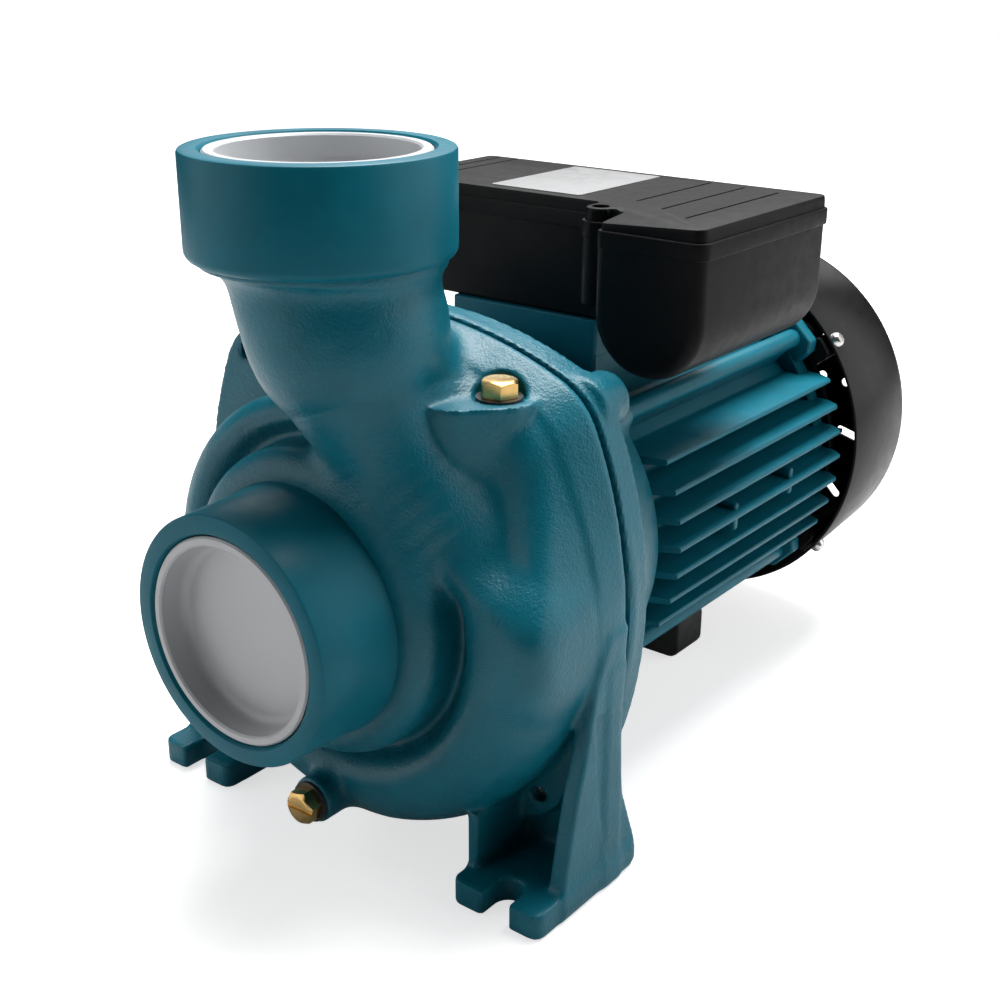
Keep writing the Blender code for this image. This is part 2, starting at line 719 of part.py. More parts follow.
def fin_outline():
    """Barrel with side fins parallel to the floor and upright fins above and below, as one outline."""
    half = FIN_THICK / 2
    offsets = [FIN_PITCH * k for k in range(-3, 4)]
    outline = []
    for quarter in range(4):
        turn = quarter * math.pi / 2
        for offset in offsets:
            corners = (
                (math.sqrt(BARREL_RADIUS**2 - (offset - half) ** 2), offset - half),
                (math.sqrt(FIN_RADIUS**2 - (offset - half) ** 2), offset - half * 0.6),
                (math.sqrt(FIN_RADIUS**2 - (offset + half) ** 2), offset + half * 0.6),
                (math.sqrt(BARREL_RADIUS**2 - (offset + half) ** 2), offset + half),
            )
            outline += [turned(u, v, turn) for u, v in corners]
    return outline


def motor_housing():
    middle = (0, 0, SHAFT_HEIGHT)
    housing = prism("motor_housing", fin_outline(), HOUSING_FRONT, FIN_REAR, "pump_enamel", location=middle)
    end_shape = [
        (HOUSING_FRONT - 1, 0),
        (HOUSING_FRONT - 1, BARREL_RADIUS + 1),
        (FIN_FRONT - 7, BARREL_RADIUS + 2),
        (FIN_FRONT, FIN_RADIUS + 1),
        (FIN_REAR - 4, FIN_RADIUS + 1),
        (FIN_REAR + 1, FIN_RADIUS - 8),
        (FIN_REAR + 1, 0),
    ]
    combine(housing, lathe("ends", end_shape, steps=28, location=middle), "INTERSECT")
    for degrees in DIAGONALS:
        x, z = polar(TIE_ROD_RADIUS_AT, degrees)
        join(housing, rod("ridge", 6.5, FIN_FRONT - 6, FIN_REAR - 2, steps=14, location=(x, 0, z)))
        inner_x, inner_z = polar(BARREL_RADIUS - 4, degrees)
        web = rod("ridge_web", 6.5, HOUSING_FRONT, FIN_REAR - 2, steps=14, location=(inner_x, 0, inner_z))
        join(housing, web)
        pad = circle(0, 0, 95, 5, math.radians(degrees - 9), math.radians(degrees + 9))
        pad += circle(0, 0, 66, 5, math.radians(degrees - 9), math.radians(degrees + 9))[::-1]
        join(housing, prism("pad", pad, FIN_REAR - 11, FIN_REAR, location=middle))
    width = PEDESTAL_HALF_WIDTH
    low = (-width, FIN_FRONT, SHAFT_HEIGHT + 60)
    join(housing, block("pedestal", low, (width, PEDESTAL_REAR, PEDESTAL_TOP)))
    low = (-24, 236, SHAFT_HEIGHT - FIN_RADIUS + 0.5)
    join(housing, block("foot_pad", low, (24, 269, SHAFT_HEIGHT - 66)))
    cut(housing, rod("bore", HOUSING_BORE, 100, 310, steps=28, location=middle))
    for degrees in DIAGONALS:
        x, z = polar(TIE_ROD_RADIUS_AT, degrees)
        cut(housing, rod("tie_hole", TIE_ROD_RADIUS + GAP, 100, 310, steps=12, location=(x, 0, z)))
    lead_place, screw_place = (0, LEAD_HOLE_Y, 0), (0, SUPPORT_SCREW_Y, 0)
    cut(housing, rod("lead_hole", LEAD_HOLE_RADIUS, 170, 230, axis="Z", steps=16, location=lead_place))
    return cut(housing, rod("foot_screw_hole", 2.8, 21, 49, axis="Z", steps=12, location=screw_place))


def stator():
    place = (0, 0, SHAFT_HEIGHT)
    outer, inner = HOUSING_BORE - GAP, 35.8
    tube("stator_core", outer, inner, STACK_FRONT, STACK_REAR, "laminated_steel", steps=28, location=place)
    for name, near, far in (
        ("front_winding_head", STACK_FRONT - GAP, STACK_FRONT - 24),
        ("rear_winding_head", STACK_REAR + GAP, STACK_REAR + 24),
    ):
        lean = math.copysign(5, near - far)
        profile = [(near, 39), (near, 57), (far + lean, 59), (far, 54), (far, 44), (far + lean, 39)]
        lathe(name, profile, "copper_winding", steps=24, location=place)


def rear_end_shield():
    profile = [
        (SHIELD_FRONT, 63.6),
        (SHIELD_FRONT, SHIELD_RADIUS),
        (SHIELD_REAR, SHIELD_RADIUS),
        (SHIELD_REAR, 30),
        (SHIELD_REAR - 1, 9.5),
        (290.6, 9.5),
        (290.6, 20.3),
        (274, 20.3),
        (274, 25),
        (288, 28),
        (SHIELD_FRONT - 3, 63.6),
    ]
    place = (0, 0, SHAFT_HEIGHT)
    shield = lathe("rear_end_shield", profile, "black_plastic", steps=28, location=place)
    for degrees in LUG_ANGLES:
        turn = math.radians(degrees)
        lug = circle(0, 0, 94.6, 4, turn - 0.07, turn + 0.07)
        lug += circle(0, 0, 76, 4, turn - 0.07, turn + 0.07)[::-1]
        join(shield, prism("lug", lug, SHIELD_FRONT, 309, location=(0, 0, SHAFT_HEIGHT)))
    for degrees in DIAGONALS:
        x, z = polar(TIE_ROD_RADIUS_AT, degrees)
        join(shield, rod("tie_ear", 7, SHIELD_FRONT, SHIELD_REAR, steps=14, location=(x, 0, z)))
        cut(shield, rod("tie_hole", TIE_ROD_RADIUS + GAP, 280, 330, steps=12, location=(x, 0, z)))
    for degrees in LUG_ANGLES:
        cut(shield, radial_rod("lug_hole", 1.9, 82, 105, degrees, LUG_Y))
    return shield


def radial_rod(name, radius, low, high, degrees, y, finish=None, steps=12):
    """A rod whose axis leaves the shaft axis at the given angle."""
    made = rod(name, radius, low, high, finish, "X", steps, (0, y, SHAFT_HEIGHT))
    made.rotation_euler = (0, -math.radians(degrees), 0)
    return made


def fan_cover():
    outer = [
        (COVER_FRONT, COVER_FRONT_RADIUS),
        (COVER_REAR - 8, COVER_REAR_RADIUS),
        (COVER_REAR - 3, COVER_REAR_RADIUS - 2.2),
        (COVER_REAR - 0.8, COVER_REAR_RADIUS - 6),
        (COVER_REAR, COVER_REAR_RADIUS - 11),
        (COVER_REAR, 0),
    ]
    wall = COVER_WALL
    inner = [
        (COVER_REAR - wall, 0),
        (COVER_REAR - wall, COVER_REAR_RADIUS - 11.5),
        (COVER_REAR - 3, COVER_REAR_RADIUS - 5.5),
        (COVER_REAR - 8, COVER_REAR_RADIUS - wall - 0.3),
        (COVER_FRONT, COVER_FRONT_RADIUS - wall),
    ]
    place = (0, 0, SHAFT_HEIGHT)
    cover = lathe("fan_cover", outer + inner, "fan_cover_paint", steps=36, location=place)
    for low, high, count in ((20, 46, 8), (54, 80, 12)):
        for k in range(count):
            turn = 2 * math.pi * (k + 0.5) / count
            slot = [turned(u, v, turn) for u, v in ((low, -2.5), (high, -2.5), (high, 2.5), (low, 2.5))]
            cut(cover, prism("slot", slot, COVER_REAR - 8, COVER_REAR + 4, location=place))
    for degrees in LUG_ANGLES:
        cut(cover, radial_rod("screw_hole", 2.4, 90, 105, degrees, LUG_Y))
    return cover


def motor_fasteners():
    for number, degrees in enumerate(LUG_ANGLES, 1):
        name = f"fan_cover_screw_{number}"
        screw = radial_rod(name, 1.6, 86, 99.5, degrees, LUG_Y, "zinc_steel")
        join(screw, radial_rod("head", 4.2, 98.2, 100.6, degrees, LUG_Y, steps=16))
    for number, degrees in enumerate(DIAGONALS, 1):
        x, z = polar(TIE_ROD_RADIUS_AT, degrees)
        name = f"tie_rod_{number}"
        made = rod(name, TIE_ROD_RADIUS, 102, 301, "zinc_steel", steps=12, location=(x, 0, z))
        join(made, prism("head", hexagon(8.0), SHIELD_REAR + GAP, 303, location=(x, 0, z)))
    middle = (0, 0, SHAFT_HEIGHT)
    tube("bearing_wave_spring", 19.8, 15, 288.5, 290.2, "machined_steel", location=middle)


def support_foot():
    outline = rounded_box(-29, 0, 29, 26, 6)
    made = prism("motor_support_foot", outline, 239, 266, "black_rubber")
    top = prism("neck", rounded_box(-20, 20, 20, SHAFT_HEIGHT - FIN_RADIUS - GAP, 1), 242, 263)
    join(made, top)
    place = (0, SUPPORT_SCREW_Y, 0)
    cut(made, rod("screw_hole", 2.8, 12, 40, axis="Z", steps=12, location=place))
    cut(made, rod("screw_well", 6, -5, 12.5, axis="Z", steps=16, location=place))
    screw = rod("support_foot_screw", 2.5, 10, 44, "zinc_steel", "Z", 12, place)
    join(screw, rod("head", 5, 8, 12, axis="Z", steps=16, location=place))


# ---------------------------------------------------------------- terminal box


def box_outline(offset):
    """Plan view of box and lid, grown by the offset: a long main part and a deeper pocket on +X."""
    left, right = BOX_LEFT - offset, BOX_RIGHT + offset
    front, rear = BOX_FRONT - offset, BOX_REAR + offset
    pocket_left = BOX_RIGHT - 2 * POCKET_RADIUS - offset
    pocket_front = POCKET_FRONT - offset
    outline = circle(right - 5, rear - 5, 5, 4, 0, math.pi / 2)
    outline += circle(left + 5, rear - 5, 5, 4, math.pi / 2, math.pi)
    outline += circle(left + 5, front + 5, 5, 4, math.pi, 1.5 * math.pi)
    outline += [(pocket_left, front)]
    outline += circle(pocket_left + 3, pocket_front + 3, 3, 3, math.pi, 1.5 * math.pi)
    outline += circle(right - 5, pocket_front + 5, 5, 4, 1.5 * math.pi, 2 * math.pi)
    return outline


def pocket_outline(shrink):
    """End view of the capacitor pocket: straight sides and a round bottom."""
    centre = BOX_RIGHT - POCKET_RADIUS
    radius = POCKET_RADIUS - shrink
    top = BOX_TOP + (6 if shrink else 0)
    outline = [(centre + radius, top), (centre - radius, top)]
    return outline + circle(centre, POCKET_CENTRE_Z, radius, 13, math.pi, 2 * math.pi)


def terminal_box():
    main = rounded_box(BOX_LEFT, BOX_FRONT, BOX_RIGHT - 20, BOX_REAR, 5)
    box = prism("terminal_box", main, BOX_BOTTOM, BOX_TOP, "black_plastic", "Z")
    join(box, prism("pocket", pocket_outline(0), POCKET_FRONT, BOX_REAR))
    combine(box, prism("plan", box_outline(0), 190, BOX_TOP + 5, axis="Z"), "INTERSECT")
    for x, y in LID_SCREWS:
        join(box, rod("boss", LID_BOSS_RADIUS, 232, BOX_TOP - 2.5, axis="Z", steps=18, location=(x, y, 0)))
        filler = (x - LID_BOSS_RADIUS, y, 232), (x + LID_BOSS_RADIUS, BOX_FRONT + 1, BOX_TOP - 2.5)
        join(box, block("boss_web", *filler))
    wall = BOX_WALL
    inner = rounded_box(BOX_LEFT + wall, BOX_FRONT + wall, BOX_RIGHT - 40, BOX_REAR - wall, 3)
    cut(box, prism("hollow", inner, BOX_BOTTOM + wall, BOX_TOP + 5, axis="Z"))
    cut(box, prism("pocket_hollow", pocket_outline(wall), POCKET_FRONT + wall, BOX_REAR - wall))
    for x, y in LID_SCREWS:
        cut(box, rod("screw_hole", 2.3, 240, BOX_TOP + 5, axis="Z", steps=12, location=(x, y, 0)))
    lead = (0, LEAD_HOLE_Y, BOX_BOTTOM)
    cut(box, rod("lead_hole", LEAD_HOLE_RADIUS, -5, 10, axis="Z", steps=16, location=lead))
    gland_hole = rod("gland_hole", 7.5, BOX_LEFT - 10, BOX_LEFT + 10, axis="X", steps=16, location=GLAND_PLACE)
    return cut(box, gland_hole)


def terminal_box_lid():
    plan = box_outline(LID_OVERHANG)
    lid = prism("terminal_box_lid", plan, LID_SKIRT_BOTTOM, LID_TOP, "black_plastic", "Z")
    low, high = BOX_TOP - 2.2, LID_TOP - 1.5
    for x, y in LID_SCREWS:
        join(lid, rod("boss", LID_BOSS_RADIUS, low, high, axis="Z", steps=18, location=(x, y, 0)))
        web = (x - LID_BOSS_RADIUS, y, low), (x + LID_BOSS_RADIUS, BOX_FRONT + 2, high)
        join(lid, block("boss_web", *web))
    rim = prism("rim_recess", box_outline(GAP), LID_SKIRT_BOTTOM - 5, 264.4, axis="Z")
    hollow = prism("hollow", box_outline(-6), 260, 268.5, axis="Z")
    cut(lid, join(rim, hollow))
    for x, y in LID_SCREWS:
        place = (x, y, 0)
        cut(lid, rod("screw_hole", 2.3, 250, LID_TOP + 5, axis="Z", steps=12, location=place))
        cut(lid, rod("screw_well", 4.3, LID_TOP - 6, LID_TOP + 5, axis="Z", steps=16, location=place))
    return lid


def box_contents():
    gasket = prism("terminal_box_gasket", box_outline(-GAP), BOX_TOP + GAP, 264.1, "black_rubber", "Z")
    cut(gasket, prism("gasket_hole", box_outline(-BOX_WALL), BOX_TOP - 5, 270, axis="Z"))
    centre = BOX_RIGHT - POCKET_RADIUS
    rod("capacitor", 20.5, 108, 198, "capacitor_case", "Y", 32, (centre, 0, POCKET_CENTRE_Z))
    block_place = (0, 0, BOX_BOTTOM)
    base = block("terminal_block", (-30, 178, 2.8), (30, 200, 16), "white_plastic", block_place)
    for k in range(4):
        left = -24 + 14 * k
        cut(base, block("groove", (left, 170, 10), (left + 6, 210, 30), location=block_place))


def cable_gland():
    """Hex base, dome nut and the thread through the left wall of the box."""
    place = GLAND_PLACE
    gland = prism("cable_gland", hexagon(20.0), BOX_LEFT - 9, BOX_LEFT - GAP, "black_plastic", "X", place)
    join(gland, rod("thread", 7.2, BOX_LEFT - 2, BOX_LEFT + 8, axis="X", steps=16, location=place))
    join(gland, rod("dome", 8.8, BOX_LEFT - 20, BOX_LEFT - 8, axis="X", steps=20, location=place))
    cut(gland, rod("cable_hole", 4.5, BOX_LEFT - 30, BOX_LEFT + 20, axis="X", steps=16, location=place))


def lid_screws_and_plate():
    for number, (x, y) in enumerate(LID_SCREWS, 1):
        place = (x, y, 0)
        screw = rod(f"lid_screw_{number}", 2.0, 248, LID_TOP - 4, "zinc_steel", "Z", 12, place)
        join(screw, rod("head", 4.0, LID_TOP - 5.7, LID_TOP - 3, axis="Z", steps=16, location=place))
    low = (-24, 136, LID_TOP + GAP)
    block("rating_plate", low, (26, 204, LID_TOP + GAP + 0.5), "plate_label")


def centre_on_footprint():
    """Puts the origin on the floor below the middle of the pump's length."""
    middle = (SUCTION_FACE + COVER_REAR) / 2
    for placed in bpy.data.objects:
        if placed.parent is None:
            placed.location.y -= middle * MM


def build():
    clear_scene()
    pump_casing()
    ports_and_plugs()
    turning_parts()
    motor_bracket()
    casing_fasteners()
    motor_housing()
    stator()
    rear_end_shield()
    fan_cover()
    motor_fasteners()
    support_foot()
    terminal_box()
    terminal_box_lid()
    box_contents()
    cable_gland()
    lid_screws_and_plate()
    centre_on_footprint()


build()
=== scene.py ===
"""The looks of the centrifugal pump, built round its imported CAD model.

Sizes are in millimetres, along the CAD's own axes: x to the fill plug's side, y along the shaft towards
the fan, z up. Only the studio's lights and floor are placed in metres. Places on the pump are measured from
the point on the floor below the discharge port's axis, which PORT holds in the CAD's frame, and to_metres()
turns them back. Castings are drawn as smooth blends of simple shapes and meshed from that field. Everything
else is turned, lofted or cut in mesh code.
"""

import json
from math import atan2, copysign, cos, pi, radians, sin, sqrt, tan

import bmesh
import bpy
import numpy as np
from mathutils import Matrix, Vector


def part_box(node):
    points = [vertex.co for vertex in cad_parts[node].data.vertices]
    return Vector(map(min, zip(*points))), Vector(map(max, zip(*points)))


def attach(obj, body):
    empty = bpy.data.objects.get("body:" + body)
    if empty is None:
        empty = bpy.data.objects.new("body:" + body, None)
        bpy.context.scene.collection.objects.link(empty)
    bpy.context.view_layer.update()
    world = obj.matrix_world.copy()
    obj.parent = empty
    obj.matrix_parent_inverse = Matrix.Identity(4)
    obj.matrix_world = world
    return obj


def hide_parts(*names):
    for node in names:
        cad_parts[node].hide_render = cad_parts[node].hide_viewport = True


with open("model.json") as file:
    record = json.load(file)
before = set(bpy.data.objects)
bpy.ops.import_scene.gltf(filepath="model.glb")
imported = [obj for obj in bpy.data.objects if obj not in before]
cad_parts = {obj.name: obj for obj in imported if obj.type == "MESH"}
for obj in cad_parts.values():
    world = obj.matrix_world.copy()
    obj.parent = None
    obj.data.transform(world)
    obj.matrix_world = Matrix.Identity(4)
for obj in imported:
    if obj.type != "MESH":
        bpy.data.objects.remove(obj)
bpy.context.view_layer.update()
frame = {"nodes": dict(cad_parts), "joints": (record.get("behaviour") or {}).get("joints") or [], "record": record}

MM = 0.001
PUMP = "pump"

PORT = sum(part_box("discharge_port_cap"), Vector()) / 2
PORT.z = 0


def corners_mm(node):
    low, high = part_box(node)
    return (low - PORT) / MM, (high - PORT) / MM


def to_metres(place):
    return Vector(place) * MM + PORT


JOINTS = {joint["name"]: joint for joint in frame["joints"]}
SHAFT = JOINTS["shaft_spin"]["pos_m"][2] / MM
SHAFT_CENTRE = (0, SHAFT)

CASING_LOW, CASING_HIGH = corners_mm("pump_casing")
SUCTION_FACE = CASING_LOW.y
DISCHARGE_FACE = CASING_HIGH.z
HALF_WIDTH = CASING_HIGH.x
FOOT_REAR = CASING_HIGH.y
BRACKET_REAR = corners_mm("motor_bracket")[1].y
HOUSING_LOW, HOUSING_HIGH = corners_mm("motor_housing")
COVER_LOW, COVER_HIGH = corners_mm("fan_cover")
BOX_LOW, BOX_HIGH = corners_mm("terminal_box")
LID_LOW, LID_HIGH = corners_mm("terminal_box_lid")
FILL_LOW, FILL_HIGH = corners_mm("fill_plug")
DRAIN_LOW, DRAIN_HIGH = corners_mm("drain_plug")
CAP_LOW, CAP_HIGH = corners_mm("suction_port_cap")
TOP_CAP_LOW, TOP_CAP_HIGH = corners_mm("discharge_port_cap")
SHIELD_FRONT = corners_mm("rear_end_shield")[0].y
PLATE_LOW, PLATE_HIGH = corners_mm("rating_plate")

# Casing
PORT_RADIUS = 52.9
PORT_BORE = CAP_HIGH.x + 0.3
PASSAGE_RADIUS = 34.0
FLANGE_FRONT, FLANGE_REAR = 33.0, 50.0
SCROLL_REAR = 47.0
HUB_RADIUS, HUB_FACE = 67.2, -22.5
HUB_STEP_RADIUS, HUB_STEP_FACE = 50.0, -36.0
CHAMBER_RADIUS, RECESS_RADIUS = 72.0, 96.0
SHOULDER_INNER = 86.0
COLLAR_ROOT_RADIUS, COLLAR_ROOT_LOW, NECK_TOP = 48.2, 263.5, 270.0
COLLAR_JOINT = 264.9
FLANGE_HALF_WIDTH = 113.0
FLANGE_SIDE_RADIUS = 199.0
BOLT_OFFSET = 83.4
FILL_X = (FILL_LOW.x + FILL_HIGH.x) / 2
FILL_Y = (FILL_LOW.y + FILL_HIGH.y) / 2
FILL_TOP = 213.0
DRAIN_Z = (DRAIN_LOW.z + DRAIN_HIGH.z) / 2
HEAD_HEIGHT, HEAD_FLATS = 8.6, 14.0
DRAIN_SEAT = DRAIN_LOW.y + HEAD_HEIGHT
TONGUE_TURN = 84
WALL, LEAST_WALL = 7.5, 5.0
PLUG_HOLE, BOLT_HOLE = 6.5, 4.0

# Bracket
RIM_FRONT, RIM_REAR = 53.2, 66.5
CONE_RADIUS, CONE_FALL = 108.0, 24 / 55.5
EAR_RADIUS, ROD_BOSS_RADIUS, ROD_HOLE, CENTRE_HOLE = 12.0, 7.5, 2.8, 23.8

# Feet
FOOT_INNER = 68.7
FOOT_TIP = -8.3
FOOT_THICK = 12.0
SLOT_X, SLOT_WIDTH, SLOT_END = 92.0, 13.7, 8.0
GUSSET_THICK = 8.0

# Motor
BARREL_RADIUS, FIN_RADIUS = 72.0, 92.0
FIN_PITCH, FIN_TIP, FIN_ROOT = 13.4, 2.8, 4.6
FIN_FRONT = 128.5
TIE_ROD_AT, RIDGE_RADIUS = 86.0, 4.8
SHIELD_RADIUS, SHIELD_REAR = 84.0, 299.0
BEARING_SEAT, SHAFT_HOLE = 20.3, 9.5
DIAGONALS = (45, 135, 225, 315)
LUG_ANGLES = (37, 143, 217, 323)


# ---- materials


def node(tree, kind, **settings):
    """A shader node of a kind, with some of its inputs or settings given by name."""
    made = tree.nodes.new("ShaderNode" + kind)
    for name, value in settings.items():
        if name in made.inputs:
            made.inputs[name].default_value = value
        else:
            setattr(made, name, value)
    return made


def noise(tree, coordinates, size, detail=3.0, roughness=0.55):
    made = node(tree, "TexNoise", Scale=1 / (size * MM), Detail=detail, Roughness=roughness)
    tree.links.new(coordinates, made.inputs["Vector"])
    return made.outputs["Fac"]


def spread(tree, value, low, high, to_low, to_high):
    made = node(tree, "MapRange")
    for slot, number in enumerate((low, high, to_low, to_high), 1):
        made.inputs[slot].default_value = number
    tree.links.new(value, made.inputs["Value"])
    return made.outputs["Result"]


def mix(tree, share, first, second):
    made = node(tree, "Mix", data_type="RGBA")
    for value, slot in ((first, 6), (second, 7)):
        if isinstance(value, tuple):
            made.inputs[slot].default_value = (*value, 1.0)
        else:
            tree.links.new(value, made.inputs[slot])
    tree.links.new(share, made.inputs["Factor"])
    return made.outputs[2]


def shaded(colour, amount):
    return tuple(min(1.0, part * amount) for part in colour)


def finish(name, colour, roughness, metallic=0.0, gloss=0.5, patches=30.0, swing=0.12, texture=()):
    """A finish with soft colour patches, uneven roughness and bumps, given as (size, depth) in mm."""
    made = bpy.data.materials.new(name)
    made.use_nodes = True
    tree = made.node_tree
    link = tree.links.new
    shader = tree.nodes["Principled BSDF"]
    place = node(tree, "TexCoord").outputs["Object"]
    tone = spread(tree, noise(tree, place, patches), 0.3, 0.7, 0, 1)
    tinted = mix(tree, tone, shaded(colour, 1 - swing), shaded(colour, 1 + swing))
    link(tinted, shader.inputs["Base Color"])
    uneven = spread(tree, noise(tree, place, patches / 4), 0.3, 0.7, roughness * 0.85, roughness * 1.15)
    link(uneven, shader.inputs["Roughness"])
    shader.inputs["Metallic"].default_value = metallic
    shader.inputs["Specular IOR Level"].default_value = gloss
    normal = None
    for size, depth in texture:
        bump = node(tree, "Bump", Distance=depth * MM)
        link(noise(tree, place, size), bump.inputs["Height"])
        if normal:
            link(normal, bump.inputs["Normal"])
        normal = bump.outputs["Normal"]
    if normal:
        link(normal, shader.inputs["Normal"])
    return made


TEAL = (0.002, 0.112, 0.158)
BLACK = (0.0055, 0.0055, 0.006)

CAST_TEXTURE = ((9, 0.3), (2.0, 0.22), (1.0, 0.16))
WHITE = (0.43, 0.44, 0.455)
LABEL_GREY = (0.22, 0.222, 0.225)

LOOKS = {
    "cast_enamel": dict(colour=TEAL, roughness=0.34, gloss=0.28, texture=CAST_TEXTURE),
    "smooth_enamel": dict(colour=TEAL, roughness=0.40, gloss=0.15, texture=((14, 0.08), (1.1, 0.012))),
    "frame_enamel": dict(colour=TEAL, roughness=0.40, gloss=0.17, texture=((6, 0.06), (1.2, 0.02))),
    "black_plastic": dict(colour=BLACK, roughness=0.42, gloss=0.08, swing=0.2, texture=((0.5, 0.02),)),
    "fan_cover_paint": dict(colour=BLACK, roughness=0.32, gloss=0.18, swing=0.2, texture=((1.2, 0.015),)),
    "white_plastic": dict(colour=WHITE, roughness=0.34, patches=40, swing=0.02, texture=((3, 0.02),)),
    "plate_label": dict(colour=LABEL_GREY, roughness=0.35, swing=0.04, texture=((2.0, 0.01),)),
    "black_rubber": dict(colour=(0.012, 0.012, 0.012), roughness=0.7, texture=((1.5, 0.05),)),
    "carbon": dict(colour=(0.025, 0.025, 0.027), roughness=0.4, texture=((0.6, 0.02),)),
    "capacitor_case": dict(colour=(0.66, 0.66, 0.64), roughness=0.35, texture=((1.0, 0.01),)),
}
METAL_LOOKS = {
    "brass": dict(colour=(0.66, 0.43, 0.16), roughness=0.24, patches=5, texture=((0.4, 0.01),)),
    "zinc_steel": dict(colour=(0.60, 0.60, 0.58), roughness=0.28, patches=5, texture=((0.5, 0.01),)),
    "machined_steel": dict(colour=(0.52, 0.53, 0.54), roughness=0.3, patches=12, texture=((0.6, 0.008),)),
    "laminated_steel": dict(colour=(0.22, 0.22, 0.24), roughness=0.5, texture=((0.5, 0.05),)),
}
COPPER = dict(colour=(0.42, 0.13, 0.05), roughness=0.35, patches=6, texture=((1.2, 0.25),))

FINISHES = {name: finish(name, **given) for name, given in LOOKS.items()}
FINISHES |= {name: finish(name, metallic=1.0, **given) for name, given in METAL_LOOKS.items()}
FINISHES["copper_winding"] = finish("copper_winding", metallic=0.6, **COPPER)


# ---- mesh helpers


def show(thing):
    bpy.context.scene.collection.objects.link(thing)


def make_piece(name, points, faces, look, body, stands_for=(), sharp=32):
    """A mesh piece on a body, in place of some CAD nodes. Without a finish it is only a tool to cut with."""
    mesh = bpy.data.meshes.new(name)
    mesh.from_pydata([to_metres(p) for p in points], [], faces)
    shape = bmesh.new()
    shape.from_mesh(mesh)
    bmesh.ops.recalc_face_normals(shape, faces=shape.faces)
    shape.to_mesh(mesh)
    shape.free()
    smooth(mesh, sharp)
    piece = bpy.data.objects.new(name, mesh)
    show(piece)
    if look:
        mesh.materials.append(FINISHES[look])
        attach(piece, body)
    if stands_for:
        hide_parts(*stands_for)
    return piece


def smooth(mesh, sharp=32):
    mesh.shade_smooth()
    mesh.set_sharp_from_angle(angle=radians(sharp))


def axis_point(axis, u, v, along):
    """X takes (y, z), Y takes (x, z) and Z takes (x, y) as its cross coordinates."""
    if axis == "X":
        return (along, u, v)
    if axis == "Y":
        return (u, along, v)
    return (u, v, along)


def arc(u, v, radius, start, end, steps=6):
    """Points on an arc, with its angles in degrees."""
    turns = [radians(start + (end - start) * k / steps) for k in range(steps + 1)]
    return [(u + radius * cos(t), v + radius * sin(t)) for t in turns]


def turned(name, profile, look=None, body=PUMP, axis="Y", centre=SHAFT_CENTRE, steps=96, **more):
    """A turned piece. The profile is a closed loop of (along, radius) about an axis through centre."""
    points, rings = [], []
    for along, radius in profile:
        count = 1 if radius < 1e-6 else steps
        rings.append([len(points) + (k % count) for k in range(steps)])
        for k in range(count):
            turn = 2 * pi * k / steps
            u = centre[0] + radius * cos(turn)
            v = centre[1] + radius * sin(turn)
            points.append(axis_point(axis, u, v, along))
    faces = []
    for first, second in zip(rings, rings[1:] + rings[:1]):
        if first[0] == first[1] and second[0] == second[1]:
            continue
        for k in range(steps):
            after = (k + 1) % steps
            faces.append(tuple(dict.fromkeys((first[k], first[after], second[after], second[k]))))
    return make_piece(name, points, faces, look, body, **more)


def rounded_outline(corners, inset=0.0, steps=4):
    """An anticlockwise outline through (u, v, radius) corners. Inset moves every side inwards."""
    sides = []
    for k, corner in enumerate(corners):
        start = Vector(corner[:2])
        along = (Vector(corners[(k + 1) % len(corners)][:2]) - start).normalized()
        sides.append((start + Vector((-along.y, along.x)) * inset, along))
    outline = []
    for k, corner in enumerate(corners):
        (before_start, before), (after_start, after) = sides[k - 1], sides[k]
        bend = before.cross(after)
        meet = before_start + before * ((after_start - before_start).cross(after) / bend)
        swing = atan2(bend, before.dot(after))
        side = copysign(1, swing)
        radius = max(corner[2] - inset * side, 0.05)
        start = meet - before * radius * tan(abs(swing) / 2)
        centre = start + Vector((-before.y, before.x)) * radius * side
        for step in range(steps + 1):
            outline.append(centre + Matrix.Rotation(swing * step / steps, 2) @ (start - centre))
    return outline


def lofted(name, rings, look=None, body=PUMP, **more):
    """A closed piece through rings of points, with flat ends."""
    size = len(rings[0])
    points = [p for ring in rings for p in ring]
    faces = [tuple(range(size)), tuple(range(len(points) - size, len(points)))]
    for r in range(len(rings) - 1):
        for k in range(size):
            a, b = r * size + k, r * size + (k + 1) % size
            faces.append((a, b, b + size, a + size))
    return make_piece(name, points, faces, look, body, **more)


def slab(name, corners, stations, look=None, body=PUMP, axis="Z", shift=(0, 0), steps=4, **more):
    """A piece of one outline through (along, inset) stations, so that its ends can be rounded over."""
    rings = []
    for along, inset in stations:
        outline = rounded_outline(corners, inset, steps)
        rings.append([axis_point(axis, u + shift[0], v + shift[1], along) for u, v in outline])
    return lofted(name, rings, look, body, **more)


def along_shaft(name, corners, stations, look=None, **more):
    return slab(name, corners, stations, look, axis="Y", shift=SHAFT_CENTRE, **more)


def eased(low, high, low_radius, high_radius, steps=4):
    """Stations from low to high whose two end edges are rounded."""
    turns = [radians(90 * k / steps) for k in range(steps, -1, -1)]
    start = [(low + low_radius * (1 - sin(t)), low_radius * (1 - cos(t))) for t in turns]
    end = [(high - high_radius * (1 - cos(t)), high_radius * (1 - sin(t))) for t in turns]
    return start + end


def box_corners(low_u, low_v, high_u, high_v, radius):
    corners = (low_u, low_v), (high_u, low_v), (high_u, high_v), (low_u, high_v)
    return [(u, v, radius) for u, v in corners]


def swung(corners, turn):
    """Outline corners (u, v, radius) turned about the origin by an angle in radians."""
    c, s = cos(turn), sin(turn)
    return [(u * c - v * s, u * s + v * c, radius) for u, v, radius in corners]


